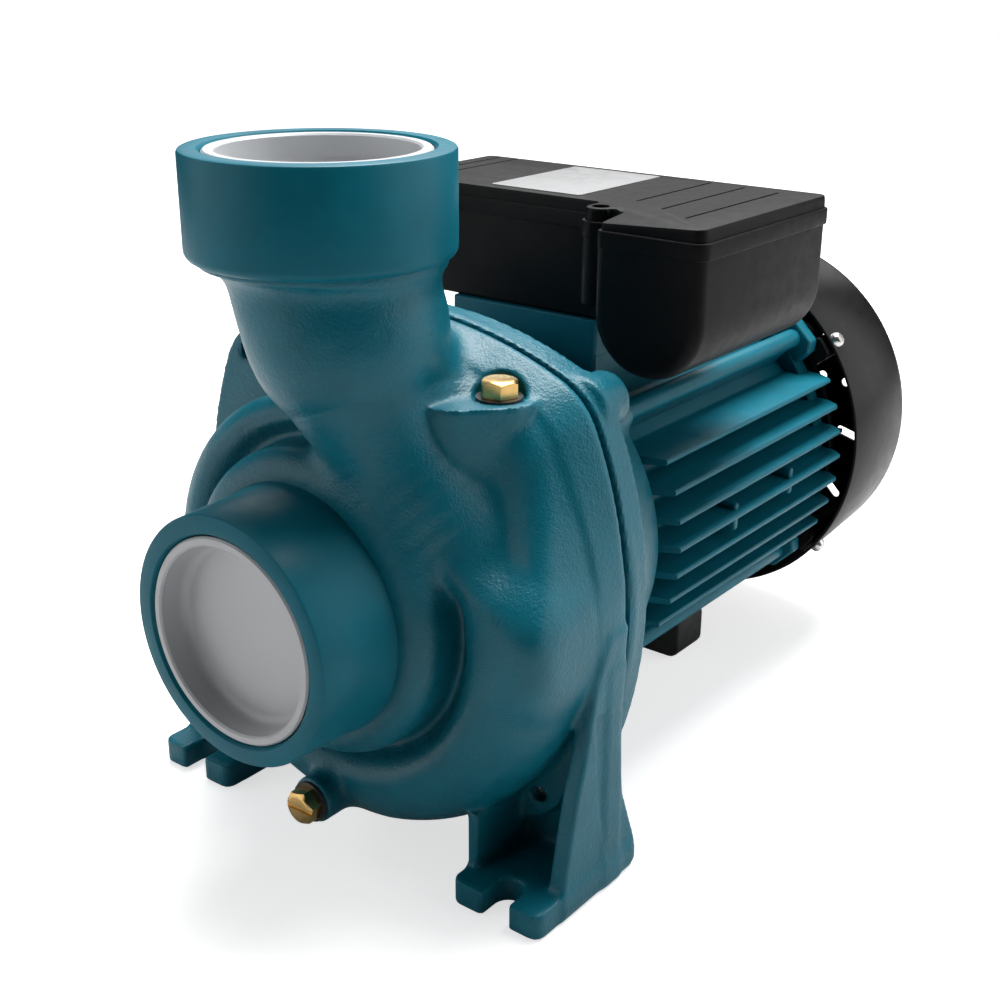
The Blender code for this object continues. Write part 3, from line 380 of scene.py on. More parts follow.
def rod(name, radius, low, high, axis="Y", centre=SHAFT_CENTRE, look=None, body=PUMP, steps=32):
    profile = [(low, 0), (low, radius), (high, radius), (high, 0)]
    return turned(name, profile, look, body, axis, centre, steps)


def combine(piece, *others, operation="DIFFERENCE"):
    """Applies Booleans one after another and throws the other pieces away."""
    for other in others:
        modifier = piece.modifiers.new("cut", "BOOLEAN")
        modifier.operation = operation
        modifier.solver = "EXACT"
        modifier.object = other
    bpy.context.view_layer.update()
    graph = bpy.context.evaluated_depsgraph_get()
    made = bpy.data.meshes.new_from_object(piece.evaluated_get(graph))
    piece.modifiers.clear()
    piece.data = made
    for other in others:
        bpy.data.objects.remove(other, do_unlink=True)
    smooth(made)
    return piece


def soften(piece, width):
    """Rounds a piece's sharp edges."""
    bevel = piece.modifiers.new("soften", "BEVEL")
    bevel.width = width * MM
    bevel.segments = 2
    bevel.limit_method = "ANGLE"
    bevel.angle_limit = radians(35)
    bevel.harden_normals = True


def polar(radius, degrees):
    """The (x, z) place at a radius and an angle about the shaft."""
    turn = radians(degrees)
    return radius * cos(turn), SHAFT + radius * sin(turn)


# ---- fields for the castings: distances in mm to a surface, below zero inside


def blend_min(a, b, width):
    """Smallest of two distances, rounded where they are close."""
    near = np.clip(0.5 + 0.5 * (b - a) / width, 0, 1)
    return b + (a - b) * near - width * near * (1 - near)


def blend_max(a, b, width):
    return -blend_min(-a, -b, width)


def drawn_out(flat, along, low, high, radius):
    """Distance to a flat shape drawn out from low to high, with rounded end edges."""
    side = flat + radius
    end = np.abs(along - (low + high) / 2) - (high - low) / 2 + radius
    return np.minimum(np.maximum(side, end), 0) + np.hypot(np.maximum(side, 0), np.maximum(end, 0)) - radius


def rectangle(u, v, low_u, high_u, low_v, high_v, radius=0.0):
    return drawn_out(np.abs(u - (low_u + high_u) / 2) - (high_u - low_u) / 2, v, low_v, high_v, radius)


def polygon(u, v, corners):
    """Signed distance to a polygon."""
    nearest = np.full(np.shape(u), 1e9)
    inside = np.zeros(np.shape(u), bool)
    for k, (u0, v0) in enumerate(corners):
        u1, v1 = corners[(k + 1) % len(corners)]
        du, dv = u1 - u0, v1 - v0
        share = np.clip(((u - u0) * du + (v - v0) * dv) / (du * du + dv * dv), 0, 1)
        nearest = np.minimum(nearest, np.hypot(u - u0 - share * du, v - v0 - share * dv))
        inside ^= ((v0 > v) != (v1 > v)) & (u < u0 + (v - v0) * du / (dv if dv else 1e-9))
    return np.where(inside, -nearest, nearest)


def tube(x, y, z, stations):
    """Distance to a tube through (x, y, z, radius) stations."""
    nearest = np.full(np.shape(x), 1e9)
    for first, second in zip(stations, stations[1:]):
        run = second[:3] - first[:3]
        legs = list(zip((x, y, z), first, run))
        share = sum((place - start) * length for place, start, length in legs)
        share = np.clip(share / (run @ run), 0, 1)
        gap = sum((place - start - share * length) ** 2 for place, start, length in legs)
        nearest = np.minimum(nearest, np.sqrt(gap) - first[3] - share * (second[3] - first[3]))
    return nearest


def curved_path(stations, steps=3):
    """Points on a smooth curve through the stations."""
    known = np.array(stations, float)
    padded = np.vstack([2 * known[0] - known[1], known, 2 * known[-1] - known[-2]])
    made = []
    for k in range(len(known) - 1):
        p0, p1, p2, p3 = padded[k : k + 4]
        for t in np.arange(steps) / steps:
            bend = 2 * p0 - 5 * p1 + 4 * p2 - p3
            twist = 3 * p1 - p0 - 3 * p2 + p3
            made.append(p1 + 0.5 * (t * (p2 - p0) + t**2 * bend + t**3 * twist))
    return np.array(made + [known[-1]])


def flange_flat(x, rise):
    """Distance to the rounded square that casing and bracket share."""
    centre = FLANGE_SIDE_RADIUS - FLANGE_HALF_WIDTH
    across = np.hypot(np.abs(x) + centre, rise) - FLANGE_SIDE_RADIUS
    upright = np.hypot(x, np.abs(rise) + centre) - FLANGE_SIDE_RADIUS
    return blend_max(across, upright, 8.0)


def ease(value, low, high):
    """0 below low, 1 above high and smooth in between."""
    share = np.clip((value - low) / (high - low), 0, 1)
    return share * share * (3 - 2 * share)


def scroll_reach(turn):
    """Outer radius of the scroll, with turn in degrees from 84 at the tongue round to 444."""
    grown = turn - 100
    spiral = np.minimum(84 + 0.215 * grown - 0.00034 * grown**2, 112)
    return spiral + 7 * ease(turn, 342, 357) - 38 * ease(turn, 362, 392)


def scroll(turn, radius, y):
    """The scroll: a ring round the hub whose outer corner gets rounder as it grows."""
    reach = scroll_reach(turn)
    grown = ease(turn, 84, 330)
    corner = 14 + 20 * grown - 12 * ease(turn, 325, 365) + 8 * ease(turn, 368, 395)
    out = radius - (reach - corner)
    front = -8 - 3 * grown + corner - y
    nook = np.hypot(np.maximum(out, 0), np.maximum(front, 0))
    outer = np.minimum(np.maximum(out, front), 0) + nook - corner
    inner = 76 - radius - 0.45 * (y + 8)
    return blend_max(outer, inner, 9)


def drafted_side(outline, y, turn):
    """The outline, leaning inwards towards the front from the scroll's end round to behind the neck."""
    draft = 0.10 * ease(turn, 342, 366) + 0.40 * ease(turn, 368, 400)
    return (outline + draft * np.maximum(SCROLL_REAR - y, 0)) / np.sqrt(1 + draft**2)


def shoulder(side, y, radius, turn):
    """The block under the fill plug, outside the groove round the hub."""
    front = 19 * ease(turn, 366, 398) - 2 + 42 * (1 - ease(turn, 342, 366)) + 14 * ease(turn, 436, 444)
    block = blend_max(side, front - y, 10)
    return blend_max(blend_max(block, SHOULDER_INNER - radius, 9), y - FLANGE_REAR + 2, 1)


NECK_STATIONS = [(0, 0, 285, 41.5), (1.5, 0, 270, 40.5), (4.5, 0, 256, 39.8), (9, 0, 245, 40.3)]
NECK_STATIONS += [(12.5, 0, 236, 39.8), (15.5, 0, 228, 35.5), (19, 0, 218, 31.5), (24, 2, 206, 28.5)]
NECK_STATIONS += [(32, 4, 192, 25.5), (44, 6, 177, 23), (58, 10, 160, 19)]
NECK = curved_path(NECK_STATIONS)


def foot_field(x, y, z):
    """Both feet at once: base plate with its slot, back plate, outer gusset and the thinner web inside."""
    side = np.abs(x)
    plan = rectangle(side, y, FOOT_INNER, HALF_WIDTH, FOOT_TIP, FOOT_REAR, 5.0)
    slot = rectangle(side, y, SLOT_X - SLOT_WIDTH / 2, SLOT_X + SLOT_WIDTH / 2, FOOT_TIP - 30, SLOT_END, 6.8)
    base = drawn_out(blend_max(plan, -slot, 2.0), z, 0, FOOT_THICK, 1.3)
    arch = [(FOOT_INNER - 1, 2), (HALF_WIDTH, 2), (HALF_WIDTH, 104), (90, 128), (48, 70), (63, 36)]
    plate = drawn_out(polygon(side, z, arch), y, 38, FLANGE_REAR, 2.0)
    front = [(9.1, 2), (9.1, 12.6), (13.2, 33.5), (18, 55), (23, 71), (26.3, 88), (30, 104), (38, 120)]
    rear = [(FLANGE_REAR, 120), (46.5, 84), (46, 71), (49, 51), (56, 33), (63, 15), (63.5, 2)]
    outline = polygon(y, z, front + rear)
    gusset = drawn_out(outline, side, HALF_WIDTH - GUSSET_THICK, HALF_WIDTH, 1.6)
    panel = polygon(y, z, [(39.6, 10), (34.4, 51), (30, 86), (60, 86), (80, 10)])
    gusset = blend_max(gusset, 0.8 - np.maximum(panel, HALF_WIDTH - side), 1.0)
    inner = polygon(y, z, [(3.5, 2), (3, 14), (3, 38), (42, 38), (42, 2)])
    web = drawn_out(inner, side, FOOT_INNER, FOOT_INNER + 5, 1.3)
    return blend_min(blend_min(blend_min(base, plate, 5.0), gusset, 4.0), web, 3.0)


def fill_boss(x, y, z, top):
    """Boss of the fill plug: round about the plug, drawn out towards the neck and slimmer lower down."""
    share = np.clip(((FILL_X - x) + (FILL_Y - y)) / 23.5, 0, 1)
    across = np.hypot(x - FILL_X + 11 * share, y - FILL_Y + 12.5 * share)
    return drawn_out(across - 15.5 + 0.06 * (FILL_TOP - z), z, 120, top, 1.0)


def casing_outside(x, y, z, radius, turn):
    rise = z - SHAFT
    outline = flange_flat(x, rise)
    side = drafted_side(outline, y, turn)
    bowl = drawn_out(radius - scroll_reach(turn) + 8, y, 2, SCROLL_REAR, 5)
    body = blend_min(bowl, blend_max(scroll(turn, radius, y), y - SCROLL_REAR, 3), 5)
    body = blend_min(body, shoulder(side, y, radius, turn), 9)
    body = blend_max(body, outline, 6)
    body = blend_min(body, drawn_out(side, y, FLANGE_FRONT, FLANGE_REAR, 0.8), 4)
    body = blend_min(body, drawn_out(radius - HUB_RADIUS, y, HUB_FACE, 20, 11), 4)
    body = np.minimum(body, drawn_out(radius - HUB_STEP_RADIUS, y, HUB_STEP_FACE, 10, 1))
    collar_root = drawn_out(np.hypot(x, y) - COLLAR_ROOT_RADIUS, z, COLLAR_ROOT_LOW, 290, 0.5)
    neck = blend_max(blend_min(tube(x, y, z, NECK), collar_root, 12), z - NECK_TOP, 1.0)
    body = blend_min(body, neck, 8 + 9 * ease(x, 12, 45))
    body = blend_min(body, fill_boss(x, y, z, FILL_TOP), 2)
    drain = drawn_out(np.hypot(x, z - DRAIN_Z) - 10.5, y, DRAIN_SEAT, 30, 1.5)
    body = blend_min(body, drain, 5)
    return blend_min(body, foot_field(x, y, z), 4)


def casing_field(x, y, z):
    """The casing with its water passages, plug holes and bolt holes taken out."""
    rise = z - SHAFT
    radius = np.hypot(x, rise)
    turn = np.degrees(np.arctan2(rise, x)) % 360
    turn = np.where(turn < TONGUE_TURN, turn + 360, turn)
    body = casing_outside(x, y, z, radius, turn)
    suction = drawn_out(radius - PASSAGE_RADIUS, y, -60, 20, 0.5)
    chamber = drawn_out(radius - CHAMBER_RADIUS, y, 7, 60, 0.5)
    recess = drawn_out(radius - RECESS_RADIUS, y, 30, 60, 0.5)
    channel = drawn_out(radius - scroll_reach(turn) + WALL + 4, y, 0, 36, 8)
    channel = np.maximum(channel, flange_flat(x, rise) + WALL)
    channel = np.maximum(channel, 60 - radius)
    slimmer = NECK - np.array([0, 0, 0, WALL])
    passage = tube(x, y, z, slimmer)
    thick_enough = body + LEAST_WALL
    passage = np.where(z > 255, passage, np.maximum(passage, thick_enough))
    channel = np.maximum(channel, thick_enough)
    for hollow in (suction, chamber, recess, channel, passage):
        body = np.maximum(body, -hollow)
    from_plug = np.hypot(x - FILL_X, y - FILL_Y)
    fill_hole = np.maximum(from_plug - PLUG_HOLE, 172 - z)
    spotface = np.maximum(from_plug - 10.5, FILL_TOP - 1 - z)
    drain_hole = np.maximum(np.hypot(x, z - DRAIN_Z) - PLUG_HOLE, y - 14)
    bolt_hole = np.hypot(np.abs(x) - BOLT_OFFSET, np.abs(rise) - BOLT_OFFSET) - BOLT_HOLE
    blind = (x > 0) & (rise > 0)
    bolt_hole = np.where(blind, np.maximum(bolt_hole, FLANGE_REAR - 2 - y), bolt_hole)
    for hole in (fill_hole, spotface, drain_hole, bolt_hole):
        body = np.maximum(body, -hole)
    return body


def bracket_field(x, y, z):
    """The bracket: rim, hollow cone, ears for the casing bolts and bosses for the tie rods."""
    rise = z - SHAFT
    radius = np.hypot(x, rise)
    rim = drawn_out(flange_flat(x, rise), y, RIM_FRONT, RIM_REAR, 0.8)
    taper = CONE_RADIUS - (y - RIM_REAR) * CONE_FALL
    cone = drawn_out((radius - taper) * 0.92, y, 56, BRACKET_REAR, 2.0)
    body = blend_min(rim, cone, 5)
    ear = np.hypot(np.abs(x) - BOLT_OFFSET, np.abs(rise) - BOLT_OFFSET)
    body = blend_min(body, drawn_out(ear - EAR_RADIUS, y, 58, 76, 1.5), 4)
    spot = TIE_ROD_AT * sqrt(0.5)
    boss = np.hypot(np.abs(x) - spot, np.abs(rise) - spot)
    body = blend_min(body, drawn_out(boss - ROD_BOSS_RADIUS, y, 96, BRACKET_REAR, 1.5), 5)
    hollow = drawn_out((radius - taper + 9) * 0.92, y, 70, 111, 4)
    body = np.maximum(body, -hollow)
    centre_hole = drawn_out(radius - CENTRE_HOLE, y, 40, 140, 0.5)
    for hole in (ear - BOLT_HOLE, boss - ROD_HOLE, centre_hole):
        body = np.maximum(body, -hole)
    drain = rectangle(x, y, -14, 14, 78, 100, 5)
    return np.maximum(body, -np.maximum(drain, z - 60))


# ---- meshing a field

COARSE_STEP, FINE_STEP = 2.6, 1.4


def sampled(field, axes, step):
    """The field on a grid. Blocks well clear of its surface keep the value at their middle."""
    size = 8
    middles = [axis[0] + (np.arange(0, len(axis), size) + size / 2) * step for axis in axes]
    rough = field(*np.meshgrid(*middles, indexing="ij"))
    values = np.empty([len(axis) for axis in axes])
    for place in np.ndindex(rough.shape):
        part = tuple(slice(k * size, (k + 1) * size) for k in place)
        value = rough[place]
        if abs(value) < 1.3 * size * step:
            value = field(*np.meshgrid(*[axis[span] for axis, span in zip(axes, part)], indexing="ij"))
        values[part] = value
    return values


def sign_changes(values, axis):
    """Where along each grid edge the field crosses zero, as a share of the edge; nan where it doesn't."""
    ahead = np.moveaxis(values, axis, 0)
    first, second = ahead[:-1], ahead[1:]
    mixed = (first < 0) != (second < 0)
    share = np.where(mixed, first / np.where(mixed, first - second, 1), np.nan)
    return np.moveaxis(share, 0, axis)


def net_points(values, low, step):
    """One point in each cell that the surface passes through, and the cell-to-point numbering."""
    shape = np.array(values.shape) - 1
    total = np.zeros((*shape, 3))
    count = np.zeros(shape)
    for axis in range(3):
        share = sign_changes(values, axis)
        others = [a for a in range(3) if a != axis]
        for first in (0, 1):
            for second in (0, 1):
                window = [slice(None)] * 3
                window[others[0]] = slice(first, first + shape[others[0]])
                window[others[1]] = slice(second, second + shape[others[1]])
                part = share[tuple(window)]
                hit = ~np.isnan(part)
                count += hit
                total[..., axis] += np.where(hit, part, 0)
                total[..., others[0]] += hit * first
                total[..., others[1]] += hit * second
    used = count > 0
    numbers = np.full(shape, -1)
    numbers[used] = np.arange(used.sum())
    cells = np.argwhere(used)
    points = (cells + total[used] / count[used][:, None]) * step + low
    return points, numbers


def net_faces(values, numbers):
    faces = []
    for axis in range(3):
        crossing = ~np.isnan(sign_changes(values, axis))
        others = [a for a in range(3) if a != axis]
        inner = [slice(None)] * 3
        for other in others:
            inner[other] = slice(1, -1)
        edges = np.argwhere(crossing[tuple(inner)])
        loop = []
        for first, second in ((0, 0), (1, 0), (1, 1), (0, 1)):
            cells = edges.copy()
            cells[:, others[0]] += first
            cells[:, others[1]] += second
            loop.append(numbers[tuple(cells.T)])
        faces.append(np.stack(loop, axis=1))
    return np.concatenate(faces)


def settle(points, field, most):
    """Moves points along the field's slope onto its zero surface, never further than most."""
    nudge = 0.05
    value = field(*points.T)
    slope = np.empty_like(points)
    for axis in range(3):
        ahead = points.copy()
        ahead[:, axis] += nudge
        slope[:, axis] = (field(*ahead.T) - value) / nudge
    step = slope * (value / np.maximum((slope**2).sum(1), 0.05))[:, None]
    length = np.linalg.norm(step, axis=1)
    return points - step * np.minimum(1, most / np.maximum(length, 1e-9))[:, None]


def evened(points, faces):
    """Moves each point halfway to the mean of its neighbours."""
    ends = np.concatenate([faces[:, [k, (k + 1) % 4]] for k in range(4)])
    ends = np.concatenate([ends, ends[:, ::-1]])
    count = np.bincount(ends[:, 0], minlength=len(points))
    total = [np.bincount(ends[:, 0], weights=points[ends[:, 1], a], minlength=len(points)) for a in range(3)]
    return (points + np.stack(total, axis=1) / count[:, None]) / 2


def cast(name, field, low, high, step, look, **more):
    """Meshes the inside of a field as one piece."""
    axes = [np.arange(low[a], high[a] + step, step) for a in range(3)]
    values = sampled(field, axes, step)
    points, numbers = net_points(values, np.array(low, float), step)
    faces = net_faces(values, numbers)
    for _ in range(2):
        points = settle(evened(points, faces), field, step)
    points = settle(points, field, step)
    return make_piece(name, points.tolist(), faces.tolist(), look, PUMP, sharp=50, **more)


def casing(step):
    low = (-HALF_WIDTH - 3, -51, -3)
    high = (HALF_WIDTH + 3, FOOT_REAR + 3, 276)
    cast("casing_casting", casing_field, low, high, step, "cast_enamel", stands_for=["pump_casing"])
    suction = [(SUCTION_FACE + 2.5, PORT_BORE)]
    suction += [(SUCTION_FACE + 0.6, PORT_BORE + 0.8), (SUCTION_FACE, PORT_BORE + 1.4)]
    suction += [(SUCTION_FACE, PORT_RADIUS - 1.2), (SUCTION_FACE + 0.4, PORT_RADIUS - 0.4)]
    suction += [(SUCTION_FACE + 1.2, PORT_RADIUS), (-40, 53.6), (-26, 54.3), (-20.5, 55.5), (-16, 57)]
    suction += [(-16, PASSAGE_RADIUS), (-34, PASSAGE_RADIUS), (-38, PORT_BORE)]
    turned("suction_collar", suction, "smooth_enamel", steps=128)
    top = DISCHARGE_FACE
    discharge = [(top - 2.5, PORT_BORE), (top - 0.6, PORT_BORE + 0.8), (top, PORT_BORE + 1.4)]
    discharge += [(top, PORT_RADIUS - 1.4), (top - 0.4, PORT_RADIUS - 0.5), (top - 1.3, PORT_RADIUS)]
    discharge += [(269 - s, r) for r, s in arc(PORT_RADIUS - 4, 0, 4, 0, 80, 5)]
    discharge += [(COLLAR_JOINT, 48.5), (COLLAR_JOINT, PASSAGE_RADIUS)]
    discharge += [(268, PASSAGE_RADIUS), (272, PORT_BORE)]
    turned("discharge_collar", discharge, "smooth_enamel", axis="Z", centre=(0, 0), steps=128)


def bracket(step):
    low = (-HALF_WIDTH - 3, 50, SHAFT - HALF_WIDTH - 3)
    high = (HALF_WIDTH + 3, BRACKET_REAR + 3, SHAFT + HALF_WIDTH + 3)
    cast("bracket_casting", bracket_field, low, high, step, "cast_enamel", stands_for=["motor_bracket"])


# ---- caps and plugs


def cap(side, axis, centre, rim, floor, inner, outward):
    """A plastic cup in a port. Rim and floor are places along the axis; outward points out of the port."""
    outer = PORT_BORE - 0.3
    deep = [(floor + outward * s, inner - 4.5 + r) for r, s in arc(0, 4.5, 4.5, -90, 0, 6)]
    profile = [(floor, 0), *deep, (rim - outward * 0.8, inner + 0.4), (rim, inner + 1.2)]
    profile += [(rim, outer - 0.8), (rim - outward * 0.8, outer), (floor - outward * 1.5, outer - 0.4)]
    profile += [(floor - outward * 2.5, outer - 2), (floor - outward * 2.5, 0)]
    name, replaced = f"{side}_cap_cup", [f"{side}_port_cap"]
    turned(name, profile, "white_plastic", f"{side}_cap", axis, centre, 128, stands_for=replaced)


def hex_corners(across_flats, turn):
    reach = across_flats / sqrt(3)
    turns = [turn + pi * k / 3 for k in range(6)]
    return [(reach * cos(t), reach * sin(t), 0.4) for t in turns]


def plug(body, axis, centre, seat, outward, slotted):
    """A brass plug: hex head with a turned crown, collar under the head, and its plain shank."""
    name = f"{body}_body"
    low, high = sorted((seat + outward * 1.6, seat + outward * HEAD_HEIGHT))
    flats = hex_corners(HEAD_FLATS, radians(12))
    head = slab(name, flats, [(low, 0), (high, 0)], "brass", body, axis, centre, 2)
    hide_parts(body)
    crown = [(0, 0), (0, 8.0), (1.6, 8.2), (6.9, 8.2), (8.0, 6.9), (8.45, 6.2)]
    crown += [(HEAD_HEIGHT, 5.0), (HEAD_HEIGHT, 0)]
    crown = [(seat + outward * rise, radius) for rise, radius in crown]
    combine(head, turned("crown", crown, axis=axis, centre=centre, steps=64), operation="INTERSECT")
    if slotted:
        low, high = sorted((seat + outward * 7.2, seat + outward * 12))
        corners = box_corners(-10, -0.7, 10, 0.7, 0.1)
        combine(head, slab("slot", corners, [(low, 0), (high, 0)], axis=axis, shift=centre))
    low, high = sorted((seat - outward * 14, seat + outward * 2.5))
    rod(name + "_shank", 6.2, low, high, axis, centre, "brass", body)
    soften(head, 0.18)


def caps_and_plugs():
    cap("suction", "Y", SHAFT_CENTRE, CAP_LOW.y, CAP_LOW.y + 12.5, 39.4, -1)
    cap("discharge", "Z", (0, 0), TOP_CAP_HIGH.z, TOP_CAP_LOW.z + 2.5, 38.6, 1)
    plug("fill_plug", "Z", (FILL_X, FILL_Y), FILL_TOP - 1, 1, False)
    plug("drain_plug", "Y", (0, DRAIN_Z), DRAIN_SEAT, -1, True)


# ---- motor


def frame_corners():
    """Barrel with fins parallel to the floor on its sides and upright fins above and below."""
    corners = []
    for quarter in range(4):
        side = []
        for k in range(-3, 4):
            middle = FIN_PITCH * k
            for v, reach, radius in (
                (middle - FIN_ROOT / 2, BARREL_RADIUS, 2.0),
                (middle - FIN_TIP / 2, FIN_RADIUS, 1.2),
                (middle + FIN_TIP / 2, FIN_RADIUS, 1.2),
                (middle + FIN_ROOT / 2, BARREL_RADIUS, 2.0),
            ):
                side.append((sqrt(reach**2 - v**2), v, radius))
        corners += swung(side, quarter * pi / 2)
    return corners


def motor_frame():
    front, rear = HOUSING_LOW.y, HOUSING_HIGH.y
    stations = [(front, 0), (rear, 0)]
    piece = along_shaft("motor_frame", frame_corners(), stations, "frame_enamel", steps=3)
    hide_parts("motor_housing")
    ends = [(front - 1, 0), (front - 1, BARREL_RADIUS + 1), (FIN_FRONT - 7, BARREL_RADIUS + 2)]
    ends += [(FIN_FRONT, FIN_RADIUS + 1), (rear - 4, FIN_RADIUS + 1), (rear + 1, FIN_RADIUS - 8)]
    ends += [(rear + 1, 0)]
    combine(piece, turned("ends", ends), operation="INTERSECT")
    bore = rod("bore", 64, front - 5, rear + 5, steps=96)
    corners = box_corners(-45, front - 5, 45, FIN_FRONT + 1, 1)
    before_pedestal = slab("clear", corners, [(SHAFT + 73, 0), (240, 0)])
    combine(piece, bore, before_pedestal)
    for number, degrees in enumerate(DIAGONALS, 1):
        ridge(number, degrees)
    pedestal()


def ridge(number, degrees):
    """The tie rod's ridge with a domed rear end, and the corner of the rear ring behind it."""
    front, rear = HOUSING_LOW.y, HOUSING_HIGH.y
    radius = RIDGE_RADIUS
    profile = [(front + 1, 0), (front + 1, radius - 1.3), (front + 4, radius)]
    profile += [(rear - 7.5 + v, u) for u, v in arc(0, 0, radius, 0, 90, 6)]
    turned(f"ridge_{number}", profile, "frame_enamel", centre=polar(TIE_ROD_AT, degrees), steps=32)
    web = [(66, -5), (80, -4), (84, -4), (84, 4), (80, 4), (66, 5)]
    pad = [(70, -12), (88, -12), (93, -8), (93, 8), (88, 12), (70, 12)]
    for name, outline, rounding, stations in (
        ("ridge_web", web, 0.3, eased(front + 1.5, rear - 9, 0.5, 3)),
        ("ring_corner", pad, 2.5, eased(rear - 8, rear, 1.5, 0.6)),
    ):
        corners = swung([(u, v, rounding) for u, v in outline], radians(degrees))
        along_shaft(f"{name}_{number}", corners, stations, "frame_enamel")


def pedestal():
    corners = box_corners(-41.5, FIN_FRONT, 41.5, 206, 2.5)
    slab("pedestal", corners, eased(SHAFT + 60, BOX_LOW.z + 10.4, 0.5, 1.0), "frame_enamel")
    rear = HOUSING_HIGH.y
    ring = [(rear - 9, 66), (rear - 9, 79), (rear - 8, 80), (rear - 0.5, 80), (rear, 79.5), (rear, 66)]
    turned("rear_ring", ring, "frame_enamel")
    for number, (low, high, z) in enumerate(((183, 187, SHAFT - 2), (239, 243, SHAFT)), 1):
        corners = box_corners(low, z - 7, high, z + 7, 1.5)
        for side in (-1, 1):
            stations = eased(side * 83 - 6, side * 83 + 6, 1.2, 1.2)
            name = f"fin_bridge_{number}_{'left' if side < 0 else 'right'}"
            slab(name, corners, stations, "frame_enamel", axis="X")


def end_shield():
    low, high, rim = SHIELD_FRONT, SHIELD_REAR, SHIELD_RADIUS
    profile = [(294.9, 63.8), (294.9, rim - 0.5), (295.4, rim), (high - 0.5, rim), (high, rim - 0.5)]
    profile += [(high, 30), (high - 1, SHAFT_HOLE), (290.6, SHAFT_HOLE), (290.6, BEARING_SEAT)]
    profile += [(low, BEARING_SEAT), (low, 25), (288, 28), (292, 63.8)]
    turned("end_shield", profile, "black_plastic", stands_for=["rear_end_shield"])
    for number, degrees in enumerate(LUG_ANGLES, 1):
        lug = [(76, -6.5), (93, -6), (94.4, -4.5), (94.4, 4.5), (93, 6), (76, 6.5)]
        corners = swung([(u, v, 0.8) for u, v in lug], radians(degrees))
        along_shaft(f"shield_lug_{number}", corners, eased(295, 309, 0.5, 1.5), "black_plastic")
    for number, degrees in enumerate(DIAGONALS, 1):
        centre = polar(TIE_ROD_AT, degrees)
        rod(f"shield_ear_{number}", 7, 295, high, centre=centre, look="black_plastic")


def fan_cover():
    front, rear = COVER_LOW.y, COVER_HIGH.y
    lip, reach = COVER_HIGH.x, COVER_HIGH.x - 3.5
    profile = [(front, lip - 1.5), (front + 0.2, lip - 0.3), (front + 0.8, lip)]
    profile += [(rear - 11 + v, reach - 11 + u) for u, v in arc(0, 0, 11, 0, 90, 8)]
    profile += [(rear, 0), (rear - 1.5, 0)]
    profile += [(rear - 11 + v, reach - 11 + u) for u, v in arc(0, 0, 9.5, 90, 0, 8)]
    cover = turned("fan_cover_shell", profile, "fan_cover_paint", steps=128, stands_for=["fan_cover"])
    slots = []
    for low, high, count in ((20, 46, 8), (54, 80, 12)):
        for k in range(count):
            corners = swung(box_corners(low, -2.5, high, 2.5, 2.3), 2 * pi * (k + 0.5) / count)
            slots.append(along_shaft("slot", corners, [(rear - 8, 0), (rear + 4, 0)]))
    combine(cover, *slots)


def cover_screws():
    """Pan-head screws through the cover's front edge into the shield's lugs."""
    for number, degrees in enumerate(LUG_ANGLES, 1):
        dome = [(98.4 + v, u) for u, v in arc(0.9, 0, 3.2, 5, 60, 4)]
        head = [(97.2, 0), (97.2, 4.2), (98.4, 4.2), *dome, (101.3, 0)]
        name, replaced = f"cover_screw_head_{number}", [f"fan_cover_screw_{number}"]
        screw = turned(name, head, "zinc_steel", axis="X", centre=(0, 0), steps=32, stands_for=replaced)
        turn = Matrix.Rotation(-radians(degrees), 4, "Y")
        screw.data.transform(Matrix.Translation(-PORT))
        screw.data.transform(Matrix.Translation(to_metres((0, 303.5, SHAFT))) @ turn)


def support_foot():
    low, high = corners_mm("motor_support_foot")
    corners = box_corners(low.x, low.z, high.x, 26, 6)
    stations = eased(low.y, high.y, 1.5, 1.5)
    slab("support_foot_pad", corners, stations, "black_rubber", axis="Y", stands_for=["motor_support_foot"])
    corners = box_corners(-20, 20, 20, high.z, 1)
    slab("support_foot_neck", corners, eased(242, 263, 1, 1), "black_rubber", axis="Y")
    corners = box_corners(-24, 236, 24, 269, 2)
    slab("frame_foot_pad", corners, eased(high.z + 0.8, 52, 1, 0.5), "frame_enamel")


# ---- terminal box

POCKET_WIDTH = 52.5
BOSS_X, BOSS_Y, BOSS_RADIUS = 48.0, 120.5, 8.0
LEFT_BOSS_X = -76.0
BOX_FRONT_SETBACK = 29.7


def lid_plan(low, high, front):
    """Plan of the lid between two corners, with the part over the pocket at +X and two screw bosses."""
    pocket = high.x - POCKET_WIDTH
    tip = BOSS_Y - BOSS_RADIUS
    corners = [(low.x, front, 5), (LEFT_BOSS_X - BOSS_RADIUS, front, 1.5)]
    corners += [(LEFT_BOSS_X - BOSS_RADIUS, tip, 7.9), (LEFT_BOSS_X + BOSS_RADIUS, tip, 7.9)]
    corners += [(LEFT_BOSS_X + BOSS_RADIUS, front, 1.5), (BOSS_X - BOSS_RADIUS, front, 1.5)]
    corners += [(BOSS_X - BOSS_RADIUS, tip, 7.9), (BOSS_X + BOSS_RADIUS - 0.5, tip, 7.2)]
    corners += [(BOSS_X + BOSS_RADIUS - 0.5, BOSS_Y - 3, 0.8), (pocket, BOSS_Y - 3, 0.8)]
    corners += [(pocket, low.y, 4), (high.x, low.y, 6), (high.x, high.y, 6), (low.x, high.y, 6)]
    return corners


def trough_rings(low_y, high_y, corner, steps=5):
    """Sections of the capacitor pocket along y: straight sides, round bottom, rounded over at both ends."""
    rings = []
    centre = BOX_HIGH.x - POCKET_WIDTH / 2
    for y, inset in eased(low_y, high_y, corner, 3, steps):
        radius = POCKET_WIDTH / 2 - inset
        outline = [(centre + radius, BOX_HIGH.z), (centre - radius, BOX_HIGH.z)]
        outline += arc(centre, BOX_LOW.z - 3 + POCKET_WIDTH / 2, radius, 180, 360, 24)
        rings.append([(x, y, z) for x, z in outline])
    return rings


